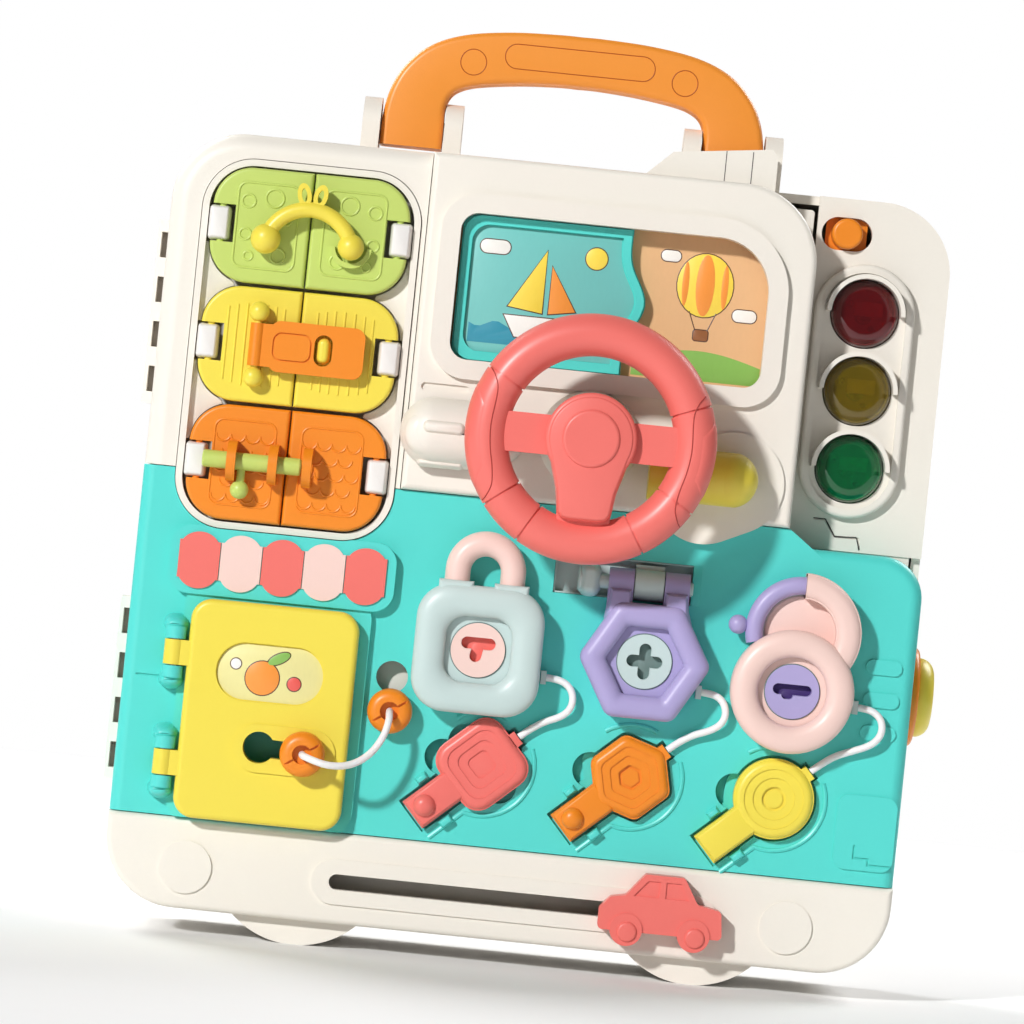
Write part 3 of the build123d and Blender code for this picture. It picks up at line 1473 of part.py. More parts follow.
for name, shape, centre, size in keys:
    with BuildPart() as key:
        with BuildSketch(front(key_floor + 0.3)):
            add(key_outline(shape, centre, size))
        extrude(amount=key_thick)
        for ring in (0.72, 0.5, 0.28):
            with BuildSketch(front(key_floor + 0.3 + key_thick)):
                add(key_head(shape, centre, size * ring))
                add(key_head(shape, centre, size * ring - 0.8), mode=Mode.SUBTRACT)
            extrude(amount=-0.5, mode=Mode.SUBTRACT)
    save(key.part, name)

# ---- Car slider ------------------------------------------------------------------------------

car_back = base_proud + 0.8 + 0.3
with BuildPart() as car_slider:
    with BuildSketch(front(car_back)):
        with BuildLine():
            Polyline((car_x - 20.5, track_z - 6), (car_x - 20.5, track_z + 1), (car_x - 17, track_z + 5),
                     (car_x - 12, track_z + 6), (car_x - 6, track_z + 13.5), (car_x + 7, track_z + 13.5),
                     (car_x + 12, track_z + 5), (car_x + 20, track_z + 3.5), (car_x + 21, track_z - 6),
                     close=True)
        make_face()
    extrude(amount=car_thick)
    fillet(car_slider.edges().filter_by(Axis.Y), radius=1.6)
    for x in (car_x - 11, car_x + 11.5):
        with BuildSketch(front(car_back)):
            with Locations((x, track_z - 5.4)):
                Circle(5.4)
        extrude(amount=car_thick + 0.6)
    with BuildSketch(front(car_back + car_thick)):
        with BuildLine():
            Polyline((car_x - 9.5, track_z + 6), (car_x - 5, track_z + 11.4), (car_x - 1, track_z + 11.4),
                     (car_x - 1, track_z + 6), close=True)
        make_face()
        with BuildLine():
            Polyline((car_x + 1, track_z + 6), (car_x + 1, track_z + 11.4), (car_x + 6, track_z + 11.4),
                     (car_x + 9, track_z + 6), close=True)
        make_face()
    extrude(amount=-0.6, mode=Mode.SUBTRACT)
    with BuildSketch(front(base_proud - wall - 0.5)):
        add(stadium(car_x, track_z, 8.0, track_width - 2 * slack))
    extrude(amount=car_back + wall - base_proud + 1.5)
    add(block(car_x - 6, car_x + 6, track_z - 4.5, track_z + 4.5, base_proud - wall - 2.3,
              base_proud - wall - 0.4))
save(car_slider.part, "car_slider")

# ---- Side button -----------------------------------------------------------------------------

with BuildPart() as button_collar:
    add(rod_x(button_z, button_depth, button_ring, case_side + 0.05, case_side + 4.5))
    fillet(button_collar.edges().filter_by(GeomType.CIRCLE).sort_by(Axis.X)[-1:], radius=2.0)
    add(rod_x(button_z, button_depth, button_radius + 0.3, case_side - 1, case_side + 10), mode=Mode.SUBTRACT)
save(button_collar.part, "button_collar")

with BuildPart() as side_button:
    add(rod_x(button_z, button_depth, button_radius, case_side - wall - 1, case_side + button_proud))
    fillet(side_button.edges().filter_by(GeomType.CIRCLE).sort_by(Axis.X)[-1:], radius=5.0)
    add(rod_x(button_z, button_depth, button_radius + 1.2, case_side - wall - 2.4, case_side - wall - 0.4))
save(side_button.part, "side_button")
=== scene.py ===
"""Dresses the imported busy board: a finish for every moulding, the printed pictures, raised and
inlaid details, the cords, and a plain studio with its camera.

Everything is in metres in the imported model's frame. Pieces on the play side are drawn in
millimetres: x to the right, z up from the ground, and a height towards the child.
"""

import json
import logging
import math
from dataclasses import dataclass
from enum import Enum
from typing import Iterable, Sequence

import bmesh
import bpy
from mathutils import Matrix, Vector


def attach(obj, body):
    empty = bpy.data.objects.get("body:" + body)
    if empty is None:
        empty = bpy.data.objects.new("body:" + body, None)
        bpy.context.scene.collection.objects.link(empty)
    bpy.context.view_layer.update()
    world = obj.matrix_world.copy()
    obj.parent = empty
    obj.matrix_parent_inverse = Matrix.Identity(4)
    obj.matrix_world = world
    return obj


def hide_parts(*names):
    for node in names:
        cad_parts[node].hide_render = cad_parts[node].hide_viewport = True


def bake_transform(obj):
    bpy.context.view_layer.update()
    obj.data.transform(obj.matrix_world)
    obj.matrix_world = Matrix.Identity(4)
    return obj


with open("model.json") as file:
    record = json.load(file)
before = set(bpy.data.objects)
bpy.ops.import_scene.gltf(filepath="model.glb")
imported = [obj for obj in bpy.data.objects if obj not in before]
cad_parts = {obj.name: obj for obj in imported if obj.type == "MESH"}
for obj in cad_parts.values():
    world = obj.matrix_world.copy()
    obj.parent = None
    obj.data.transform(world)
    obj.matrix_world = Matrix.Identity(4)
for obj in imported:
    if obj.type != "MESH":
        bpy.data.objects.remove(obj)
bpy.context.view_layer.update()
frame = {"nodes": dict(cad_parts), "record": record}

MM = 0.001
SHIFT_X = 2.5  # where the drawing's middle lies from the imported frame's
SHIFT_DEPTH = 8.2
IMAGE_PIXELS = 1024
ROUND_ANGLE = 60.0  # sharp-edge limit of pieces that are round all over, in degrees

log = logging.getLogger("busy_board")

Colour = tuple[float, float, float]
Spot = tuple[float, float]


def at(x: float, z: float, height: float) -> Vector:
    """A point of the drawing, in millimetres, as a point of the frame in metres."""
    return Vector(((x - SHIFT_X) * MM, -(height + SHIFT_DEPTH) * MM, z * MM))


# ---- Shader graphs ---------------------------------------------------------------------------


class Number:
    """A number that varies over a surface. Its operators add Math nodes."""

    def __init__(self, graph: "Graph", socket: bpy.types.NodeSocket) -> None:
        """Wrap one output socket."""
        self.graph = graph
        self.socket = socket

    def _join(self, operation: str, first: "Number | float", second: "Number | float") -> "Number":
        """Add a Math node on two values.

        Args:
            operation: the Math node's operation.
            first: its first value.
            second: its second value.

        Returns:
            The node's result.
        """
        node = self.graph.add("ShaderNodeMath", {"operation": operation}, {0: first, 1: second})
        return Number(self.graph, node.outputs[0])

    def __add__(self, other: "Number | float") -> "Number":
        """Add."""
        return self._join("ADD", self, other)

    def __radd__(self, other: float) -> "Number":
        """Add to a plain number."""
        return self._join("ADD", other, self)

    def __sub__(self, other: "Number | float") -> "Number":
        """Subtract."""
        return self._join("SUBTRACT", self, other)

    def __rsub__(self, other: float) -> "Number":
        """Subtract from a plain number."""
        return self._join("SUBTRACT", other, self)

    def __mul__(self, other: "Number | float") -> "Number":
        """Multiply."""
        return self._join("MULTIPLY", self, other)

    def __rmul__(self, other: float) -> "Number":
        """Multiply a plain number."""
        return self._join("MULTIPLY", other, self)


class Graph:
    """The nodes of one material, ending in a Principled shader."""

    def __init__(self, name: str) -> None:
        """Start a material.

        Args:
            name: the material's name.
        """
        self.material = bpy.data.materials.new(name)
        self.material.use_nodes = True
        self.tree = self.material.node_tree
        self.tree.nodes.clear()
        self.shader = self.add("ShaderNodeBsdfPrincipled")
        self.add("ShaderNodeOutputMaterial", sockets={"Surface": self.shader.outputs[0]})
        self.place = self.add("ShaderNodeTexCoord").outputs["Object"]

    def add(
        self,
        kind: str,
        settings: dict[str, object] | None = None,
        sockets: dict[int | str, object] | None = None,
    ) -> bpy.types.Node:
        """Add any node.

        Args:
            kind: the node's type.
            settings: its properties, set first.
            sockets: values or links of its input sockets, by name or number.

        Returns:
            The new node.
        """
        node = self.tree.nodes.new(kind)
        for name, value in (settings or {}).items():
            setattr(node, name, value)
        for key, value in (sockets or {}).items():
            self.feed(node.inputs[key], value)
        return node

    def feed(self, socket: bpy.types.NodeSocket, value: object) -> None:
        """Set an input socket, or link another socket to it.

        Args:
            socket: the input.
            value: a number, a colour, an output socket or a Number.
        """
        if isinstance(value, Number):
            value = value.socket
        if isinstance(value, bpy.types.NodeSocket):
            self.tree.links.new(value, socket)
        elif isinstance(value, tuple) and socket.type == "RGBA":
            socket.default_value = (*value, 1)
        else:
            socket.default_value = value

    def noise(self, scale: float, detail: float = 2.0, stretch: Colour = (1, 1, 1)) -> Number:
        """Cloudy noise from 0 to 1.

        Args:
            scale: features per metre.
            detail: octaves.
            stretch: scale along each axis.

        Returns:
            The noise.
        """
        where = self.add("ShaderNodeMapping", {}, {"Vector": self.place, "Scale": stretch})
        sockets = {"Vector": where.outputs[0], "Scale": scale, "Detail": detail}
        return Number(self, self.add("ShaderNodeTexNoise", {}, sockets).outputs["Fac"])

    def mix(self, factor: Number | float, low: object, high: object) -> bpy.types.NodeSocket:
        """Mix two colours.

        Args:
            factor: 0 gives the first colour and 1 the second.
            low: the first colour.
            high: the second colour.

        Returns:
            The mixed colour's socket.
        """
        node = self.add("ShaderNodeMix", {"data_type": "RGBA"}, {0: factor, 6: low, 7: high})
        return node.outputs[2]

    def tones(self, factor: Number, colour: Colour, low: float, high: float) -> bpy.types.NodeSocket:
        """Vary a colour between a darker and a lighter tone of itself.

        Args:
            factor: 0 gives the first tone and 1 the second.
            colour: the colour.
            low: factor of the first tone.
            high: factor of the second tone.

        Returns:
            The socket of the varied colour.
        """
        return self.mix(factor, shade(colour, low), shade(colour, high))

    def bump(self, height: Number, strength: float, distance: float) -> None:
        """Raise the surface by a height map.

        Args:
            height: the map.
            strength: how strongly it shows.
            distance: the height of 1, in metres.
        """
        sockets = {"Height": height, "Strength": strength, "Distance": distance}
        self.feed(self.shader.inputs["Normal"], self.add("ShaderNodeBump", {}, sockets).outputs[0])

    def dress(self, **values: object) -> None:
        """Set sockets of the shader; an underscore in a name stands for a space."""
        for name, value in values.items():
            self.feed(self.shader.inputs[name.replace("_", " ")], value)


def shade(colour: Colour, factor: float) -> Colour:
    """A colour made darker or lighter by a factor."""
    return tuple(min(1.0, channel * factor) for channel in colour)


# ---- Finishes --------------------------------------------------------------------------------


@dataclass(frozen=True)
class MouldedPlastic:
    """Injection moulded ABS: an even colour with faint flow shading, handling marks in the gloss
    and the fine spark-eroded grain of its mould."""

    name: str
    colour: Colour
    roughness: float = 0.42
    coat: float = 0.12
    grain: float = 0.22
    cloud: float = 0.035

    def material(self) -> bpy.types.Material:
        """Build the material."""
        graph = Graph(self.name)
        flow = graph.noise(14, 3, (1.0, 1.0, 0.45))
        speck = graph.noise(900, 1)
        tone = flow * 0.75 + speck * 0.25
        graph.dress(
            Base_Color=graph.tones(tone, self.colour, 1 - self.cloud, 1 + self.cloud),
            Roughness=self.roughness - 0.05 + graph.noise(70, 4) * 0.1,
            Coat_Weight=self.coat,
            Coat_Roughness=0.25,
            IOR=1.5,
            Specular_IOR_Level=0.45,
        )
        skin = graph.noise(1500, 2) * 0.7 + graph.noise(160, 2) * 0.3
        graph.bump(skin, self.grain, 0.00012)
        return graph.material


@dataclass(frozen=True)
class TintedLens:
    """Clear tinted polystyrene, polished, with faint moulding swirls."""

    name: str
    colour: Colour

    def material(self) -> bpy.types.Material:
        """Build the material."""
        graph = Graph(self.name)
        swirl = graph.noise(120, 2)
        graph.dress(
            Base_Color=graph.tones(swirl, self.colour, 0.92, 1.08),
            Roughness=0.04 + graph.noise(260, 3) * 0.05,
            Transmission_Weight=0.82,
            IOR=1.49,
            Coat_Weight=0.6,
            Coat_Roughness=0.04,
        )
        graph.bump(graph.noise(90, 1), 0.05, 0.0002)
        return graph.material


@dataclass(frozen=True)
class PrintedCard:
    """Printed card under a satin film: flat ink with a fine fibre showing through."""

    name: str
    colour: Colour
    roughness: float = 0.38

    def material(self) -> bpy.types.Material:
        """Build the material."""
        graph = Graph(self.name)
        fibre = graph.noise(1100, 3, (1.0, 1.0, 0.35))
        wash = graph.noise(45, 2)
        graph.dress(
            Base_Color=graph.tones(fibre * 0.6 + wash * 0.4, self.colour, 0.95, 1.05),
            Roughness=self.roughness - 0.04 + fibre * 0.08,
            Coat_Weight=0.25,
            Coat_Roughness=0.2,
        )
        graph.bump(fibre, 0.12, 0.00006)
        return graph.material


@dataclass(frozen=True)
class SoftCord:
    """Extruded soft cord: milky, slightly sheeny, with drawn lines along it."""

    name: str
    colour: Colour

    def material(self) -> bpy.types.Material:
        """Build the material."""
        graph = Graph(self.name)
        drawn = graph.noise(420, 2)
        graph.dress(
            Base_Color=graph.tones(drawn, self.colour, 0.94, 1.03),
            Roughness=0.45 + drawn * 0.12,
            Sheen_Weight=0.2,
            Subsurface_Weight=0.12,
            Subsurface_Scale=0.002,
        )
        graph.bump(drawn, 0.15, 0.0001)
        return graph.material


@dataclass(frozen=True)
class PlatedSteel:
    """Zinc-plated steel with fine turning marks."""

    name: str
    colour: Colour = (0.62, 0.62, 0.6)

    def material(self) -> bpy.types.Material:
        """Build the material."""
        graph = Graph(self.name)
        turning = graph.noise(2200, 2, (1.0, 0.2, 1.0))
        graph.dress(
            Base_Color=graph.tones(graph.noise(300, 3), self.colour, 0.85, 1.1),
            Metallic=1.0,
            Roughness=0.28 + turning * 0.15,
        )
        graph.bump(turning, 0.2, 0.00005)
        return graph.material


@dataclass(frozen=True)
class CircuitBoard:
    """Solder-masked board with copper tracks under the mask."""

    name: str
    mask: Colour = (0.05, 0.16, 0.09)
    track: Colour = (0.12, 0.33, 0.16)

    def material(self) -> bpy.types.Material:
        """Build the material."""
        graph = Graph(self.name)
        brick = graph.add(
            "ShaderNodeTexBrick",
            {"offset": 0.37, "squash": 0.7},
            {"Vector": graph.place, "Scale": 160.0, "Mortar Size": 0.09, "Color1": (0, 0, 0),
             "Color2": (0.2, 0.2, 0.2), "Mortar": (1, 1, 1)},
        )
        lines = Number(graph, brick.outputs["Fac"])
        graph.dress(
            Base_Color=graph.mix(lines, self.mask, self.track),
            Roughness=0.3 + graph.noise(400, 2) * 0.1,
        )
        graph.bump(lines, 0.3, 0.0001)
        return graph.material


@dataclass(frozen=True)
class StudioPaper:
    """Matt background paper."""

    name: str
    colour: Colour

    def material(self) -> bpy.types.Material:
        """Build the material."""
        graph = Graph(self.name)
        fibre = graph.noise(60, 3)
        graph.dress(
            Base_Color=graph.tones(fibre, self.colour, 0.99, 1.0),
            Roughness=0.9 + fibre * 0.05,
        )
        return graph.material


class Paint(Enum):
    """Every finish on the board and in the studio."""

    IVORY = MouldedPlastic("ivory_plastic", (0.84, 0.795, 0.715), 0.44, 0.1)
    WHITE = MouldedPlastic("white_plastic", (0.83, 0.81, 0.78), 0.38, 0.15)
    TEAL = MouldedPlastic("teal_plastic", (0.085, 0.665, 0.605), 0.42)
    PEACH = PrintedCard("peach_card", (0.8, 0.48, 0.24))
    YELLOW = MouldedPlastic("yellow_plastic", (0.84, 0.69, 0.07), 0.4)
    ORANGE = MouldedPlastic("orange_plastic", (0.84, 0.245, 0.01), 0.4)
    HANDLE_ORANGE = MouldedPlastic("handle_orange_plastic", (0.84, 0.285, 0.03), 0.42)
    # Painted shade: the dark lines in the handle's grooves.
    GROOVE_SHADE_ORANGE = MouldedPlastic("groove_shade_orange_plastic", (0.42, 0.08, 0.002), 0.5, 0.0)
    GREEN = MouldedPlastic("green_plastic", (0.52, 0.645, 0.145), 0.42)
    CORAL = MouldedPlastic("coral_plastic", (0.83, 0.165, 0.14), 0.4)
    DEEP_CORAL = MouldedPlastic("deep_coral_plastic", (0.42, 0.045, 0.035), 0.5, 0.0)
    PINK = MouldedPlastic("pink_plastic", (0.86, 0.62, 0.56), 0.42)
    ICE_BLUE = MouldedPlastic("ice_blue_plastic", (0.54, 0.665, 0.65), 0.42)
    LILAC = MouldedPlastic("lilac_plastic", (0.405, 0.355, 0.63), 0.42)
    LENS_RED = TintedLens("red_lens", (0.36, 0.012, 0.02))
    LENS_AMBER = TintedLens("amber_lens", (0.46, 0.33, 0.015))
    LENS_GREEN = TintedLens("green_lens", (0.008, 0.4, 0.13))
    CIRCUIT = CircuitBoard("circuit_board")
    CORD = SoftCord("white_cord", (0.88, 0.87, 0.87))
    STEEL = PlatedSteel("plated_steel")
    SHADOW = MouldedPlastic("dark_plastic", (0.045, 0.04, 0.045), 0.5, 0.0)
    # Painted shade: the grey seen through the side rails' windows.
    RAIL_SHADE_GREY = MouldedPlastic("rail_shade_grey_plastic", (0.27, 0.235, 0.2), 0.55, 0.0)
    SLATE = MouldedPlastic("slate_plastic", (0.16, 0.23, 0.22), 0.5, 0.0)
    DEEP_LILAC = MouldedPlastic("deep_lilac_plastic", (0.06, 0.03, 0.16), 0.5, 0.0)
    REFLECTOR = MouldedPlastic("reflector_plastic", (0.55, 0.54, 0.52), 0.3, 0.2)
    SKY = PrintedCard("sky_card", (0.18, 0.565, 0.53))
    CREAM = PrintedCard("cream_card", (0.8, 0.74, 0.32))
    INK = PrintedCard("ink", (0.1, 0.045, 0.03))
    PRINT_WHITE = PrintedCard("white_print", (0.93, 0.91, 0.86))
    PRINT_YELLOW = PrintedCard("yellow_print", (0.98, 0.72, 0.08))
    PRINT_ORANGE = PrintedCard("orange_print", (0.93, 0.32, 0.05))
    PRINT_RED = PrintedCard("red_print", (0.8, 0.11, 0.09))
    PRINT_GREEN = PrintedCard("green_print", (0.25, 0.5, 0.1))
    PRINT_BROWN = PrintedCard("brown_print", (0.32, 0.12, 0.04))
    PRINT_SEA = PrintedCard("sea_print", (0.03, 0.3, 0.42))
    PAPER = StudioPaper("studio_paper", (0.9, 0.9, 0.9))


class Finishes:
    """Keeps one material for each finish that is used."""

    def __init__(self) -> None:
        """Start with none made."""
        self._made: dict[Paint, bpy.types.Material] = {}

    def of(self, paint: Paint) -> bpy.types.Material:
        """The material of a finish, made on first use."""
        if paint not in self._made:
            self._made[paint] = paint.value.material()
        return self._made[paint]


# ---- Mesh making -----------------------------------------------------------------------------


def from_bmesh(shape: bmesh.types.BMesh, name: str, smooth_angle: float = 40.0) -> bpy.types.Object:
    """Turn a bmesh into an object with smooth faces and sharp corners.

    Args:
        shape: the mesh, which is freed.
        name: the object's name.
        smooth_angle: edges sharper than this stay sharp, in degrees.

    Returns:
        The object.
    """
    bmesh.ops.recalc_face_normals(shape, faces=shape.faces)
    limit = math.radians(smooth_angle)
    for face in shape.faces:
        face.smooth = True
    for edge in shape.edges:
        edge.smooth = not (edge.is_manifold and edge.calc_face_angle(0) > limit)
    mesh = bpy.data.meshes.new(name)
    shape.to_mesh(mesh)
    shape.free()
    piece = bpy.data.objects.new(name, mesh)
    bpy.context.scene.collection.objects.link(piece)
    return piece


def quarter(steps: int) -> list[float]:
    """Angles from 0 to a right angle, in radians."""
    return [math.pi / 2 * step / steps for step in range(steps + 1)]


def around(steps: int) -> list[float]:
    """Angles once round, in radians, without the last."""
    return [2 * math.pi * step / steps for step in range(steps)]


def arc(centre: Spot, radius: float, turns: Iterable[float]) -> list[Spot]:
    """Points round a centre, at angles in degrees."""
    return [(centre[0] + radius * math.cos(turn), centre[1] + radius * math.sin(turn))
            for turn in map(math.radians, turns)]


def ring_at(shape: bmesh.types.BMesh, outline: Iterable[Spot], height: float) -> list[bmesh.types.BMVert]:
    """New vertices along an outline, at one height."""
    return [shape.verts.new(at(x, z, height)) for x, z in outline]


def skin(shape: bmesh.types.BMesh, rings: Sequence[list[bmesh.types.BMVert]], closed: bool = False,
         caps: bool = True) -> None:
    """Join rings of vertices with faces.

    Args:
        shape: the mesh that holds them.
        rings: the rings in order, each with as many vertices.
        closed: whether the last ring joins the first one.
        caps: whether the first and the last ring are filled, where they don't join.
    """
    pairs = list(zip(rings, rings[1:])) + ([(rings[-1], rings[0])] if closed else [])
    for low, high in pairs:
        for index in range(len(low)):
            after = (index + 1) % len(low)
            shape.faces.new((low[index], low[after], high[after], high[index]))
    if caps and not closed:
        shape.faces.new(rings[0][::-1])
        shape.faces.new(rings[-1])


def inset(outline: Sequence[Spot], distance: float) -> list[Spot]:
    """An outline moved inwards by a distance, or outwards where it is negative.

    Args:
        outline: its corners in order, either way round.
        distance: how far each side moves.

    Returns:
        The moved corners.
    """
    count = len(outline)
    area = sum(outline[index - 1][0] * outline[index][1] - outline[index][0] * outline[index - 1][1]
               for index in range(count))
    way = math.copysign(1.0, area)
    moved = []
    for index, here in enumerate(outline):
        sides = []
        for start, end in ((outline[index - 1], here), (here, outline[(index + 1) % count])):
            run = Vector((end[0] - start[0], end[1] - start[1]))
            sides.append(Vector((-run.y, run.x)).normalized() * way)
        corner = sides[0] + sides[1]
        reach = distance / max(0.35, 1 + sides[0].dot(sides[1]))
        moved.append((here[0] + corner.x * reach, here[1] + corner.y * reach))
    return moved


def add_levels(shape: bmesh.types.BMesh, outline: Sequence[Spot], levels: Sequence[Spot]) -> None:
    """Add a solid that is built up in levels to a bmesh.

    Args:
        shape: the mesh to add to.
        outline: its corners in drawing millimetres, in order.
        levels: how far in and how high each level lies, from the back to the front.
    """
    skin(shape, [ring_at(shape, inset(outline, inward), height) for inward, height in levels])


def add_plate(shape: bmesh.types.BMesh, outline: Sequence[Spot], back: float, fore: float,
              edge: float) -> None:
    """Add a flat plate with a softened front edge to a bmesh.

    Args:
        shape: the mesh to add to.
        outline: its corners in drawing millimetres, in order.
        back: height of its back face.
        fore: height of its front face.
        edge: size of the soft edge.
    """
    add_levels(shape, outline, ((0, back), (0, fore - edge), (0.3 * edge, fore - 0.3 * edge), (edge, fore)))


def add_dome(shape: bmesh.types.BMesh, outline: Sequence[Spot], back: float, fore: float,
             reach: float) -> None:
    """Add a pad with round shoulders to a bmesh.

    Args:
        shape: the mesh to add to.
        outline: its corners in drawing millimetres, in order.
        back: height of its back face.
        fore: height of its front.
        reach: how far in the shoulders go.
    """
    add_levels(shape, outline, [
        (reach * (1 - math.cos(turn)), back + (fore - back) * math.sin(turn)) for turn in quarter(7)
    ])


def add_band(shape: bmesh.types.BMesh, outer: Sequence[Spot], inner: Sequence[Spot], back: float,
             fore: float) -> None:
    """Add a ring with a rounded front to a bmesh.

    Args:
        shape: the mesh to add to.
        outer: its outer outline, in drawing millimetres.
        inner: its inner outline, with as many points.
        back: height of its two edges.
        fore: height of its crest.
    """
    rings = []
    for step in range(15):
        turn = math.pi * step / 14
        share = (1 - math.cos(turn)) / 2
        height = back + (fore - back) * math.sin(turn) ** 0.8
        between = [(x + (to_x - x) * share, z + (to_z - z) * share)
                   for (x, z), (to_x, to_z) in zip(outer, inner)]
        rings.append(ring_at(shape, between, height))
    rings += [ring_at(shape, loop, back - 1) for loop in (inner, outer)]
    skin(shape, rings, closed=True)


def add_bow(shape: bmesh.types.BMesh, outer: Sequence[Spot], inner: Sequence[Spot], back: float, fore: float,
            soft: float) -> None:
    """Add a bar with soft edges that runs between two lines to a bmesh.

    Args:
        shape: the mesh to add to.
        outer: its outer line, in drawing millimetres.
        inner: its inner line, with as many points.
        back: height of its back.
        fore: height of its front.
        soft: radius of its edges.
    """
    side = [(soft * (1 - math.sin(turn)), back + soft * (1 - math.cos(turn))) for turn in quarter(5)]
    side += [(inward, back + fore - height) for inward, height in reversed(side)]
    rings = []
    for start, end in zip(outer, inner):
        start, end = Vector(start), Vector(end)
        across = (end - start).normalized()
        spots = [(start + across * inward, height) for inward, height in side]
        spots += [(end - across * inward, height) for inward, height in reversed(side)]
        rings.append([shape.verts.new(at(spot.x, spot.y, height)) for spot, height in spots])
    skin(shape, rings)


def add_step(shape: bmesh.types.BMesh, outer: Sequence[Spot], inner: Sequence[Spot], back: float, fore: float,
             reach: float) -> None:
    """Add a ring with a flat front and a round outer shoulder to a bmesh.

    Args:
        shape: the mesh to add to.
        outer: its outer outline, in drawing millimetres.
        inner: its inner outline, with as many points.
        back: height of its back.
        fore: height of its front.
        reach: how far in the shoulder goes.
    """
    loops = [(inset(outer, reach * (1 - math.cos(turn))), back + (fore - back) * math.sin(turn))
             for turn in quarter(6)]
    loops += [(inner, fore), (inner, back)]
    skin(shape, [ring_at(shape, loop, height) for loop, height in loops], closed=True)


def add_tube(shape: bmesh.types.BMesh, path: Sequence[Vector], radius: float, closed: bool,
             sides: int) -> None:
    """Add a round tube along a path to a bmesh.

    Args:
        shape: the mesh to add to.
        path: points in metres.
        radius: the tube's radius in metres.
        closed: whether the path runs round to its start.
        sides: faces round the tube.
    """
    rings = []
    count = len(path)
    normal = Vector((0, -1, 0))
    for index, point in enumerate(path):
        before = path[index - 1] if closed or index else point
        after = path[(index + 1) % count] if closed or index < count - 1 else point
        along = (after - before).normalized()
        across = along.cross(normal)
        if across.length < 1e-4:
            across = along.orthogonal()
        across.normalize()
        normal = across.cross(along).normalized()
        rings.append([
            shape.verts.new(point + radius * (math.cos(turn) * across + math.sin(turn) * normal))
            for turn in around(sides)
        ])
    skin(shape, rings, closed)


def add_turned(shape: bmesh.types.BMesh, profile: Sequence[Spot], centre: Spot, steps: int = 40) -> None:
    """Add a turned shape that stands on the play side to a bmesh.

    Args:
        shape: the mesh to add to.
        profile: radius and height pairs in millimetres, a closed loop.
        centre: its axis in drawing millimetres.
        steps: faces round it.
    """
    rings = [ring_at(shape, circle(centre, radius, steps), height) for radius, height in profile]
    skin(shape, rings, closed=True)


def circle(centre: Spot, radius: float, steps: int = 28) -> list[Spot]:
    """Points round a circle."""
    return ellipse(centre, radius, radius, steps)


def ellipse(centre: Spot, wide: float, tall: float, steps: int = 28) -> list[Spot]:
    """Points round an ellipse with two half axes."""
    return [(centre[0] + wide * math.cos(turn), centre[1] + tall * math.sin(turn)) for turn in around(steps)]


def rounded(left: float, right: float, low: float, high: float, corner: float, steps: int = 7) -> list[Spot]:
    """Points round a rectangle with round corners.

    Args:
        left: its left side.
        right: its right side.
        low: its lower side.
        high: its upper side.
        corner: radius of the corners.
        steps: points in each corner.

    Returns:
        The points, anticlockwise.
    """
    points = []
    corners = ((right - corner, high - corner, 0), (left + corner, high - corner, 90),
               (left + corner, low + corner, 180), (right - corner, low + corner, 270))
    for x, z, start in corners:
        for step in range(steps):
            turn = math.radians(start + 90 * step / (steps - 1))
            points.append((x + corner * math.cos(turn), z + corner * math.sin(turn)))
    return points


def rounded_polygon(centre: Spot, radius: float, sides: int, corner: float, steps: int = 8) -> list[Spot]:
    """Points round a regular polygon with round corners and one corner at the right.

    Args:
        centre: its middle.
        radius: from its middle to a sharp corner.
        sides: how many sides.
        corner: radius of the corners.
        steps: points in each corner.

    Returns:
        The points, anticlockwise.
    """
    half = math.pi / sides
    reach = radius - corner / math.cos(half)
    points = []
    for side in range(sides):
        facing = 2 * half * side
        for step in range(steps):
            turn = facing - half + 2 * half * step / (steps - 1)
            points.append((centre[0] + reach * math.cos(facing) + corner * math.cos(turn),
                           centre[1] + reach * math.sin(facing) + corner * math.sin(turn)))
    return points


def smooth(points: Sequence[Spot], steps: int = 6) -> list[Spot]:
    """An open line that runs smoothly through points.

    Args:
        points: what it passes through.
        steps: how many pieces each span is cut into.

    Returns:
        The line's points.
    """
    line = []
    last = len(points) - 1
    for index in range(last):
        before, start, end, after = (
            Vector(points[max(0, min(last, index + step))]) for step in (-1, 0, 1, 2)
        )
        for share in (step / steps for step in range(steps)):
            spot = 0.5 * (2 * start + (end - before) * share
                          + (2 * before - 5 * start + 4 * end - after) * share ** 2
                          + (3 * start - before - 3 * end + after) * share ** 3)
            line.append((spot.x, spot.y))
    line.append(tuple(points[-1]))
    return line


def turned_spots(points: Sequence[Spot], centre: Spot, angle: float) -> list[Spot]:
    """Points turned about a centre by an angle in degrees."""
    cosine, sine = math.cos(math.radians(angle)), math.sin(math.radians(angle))
    return [
        (centre[0] + (x - centre[0]) * cosine - (z - centre[1]) * sine,
         centre[1] + (x - centre[0]) * sine + (z - centre[1]) * cosine)
        for x, z in points
    ]


# ---- What every sub-assembly can do ----------------------------------------------------------


@dataclass(frozen=True)
class Berth:
    """Where a piece belongs: the CAD body it moves with, its finish and the record's slot, which is not used.
    """

    body: str
    paint: Paint
    slot: str


CASE_IVORY = Berth("case", Paint.IVORY, "ivory")
CASE_TEAL = Berth("case", Paint.TEAL, "teal")


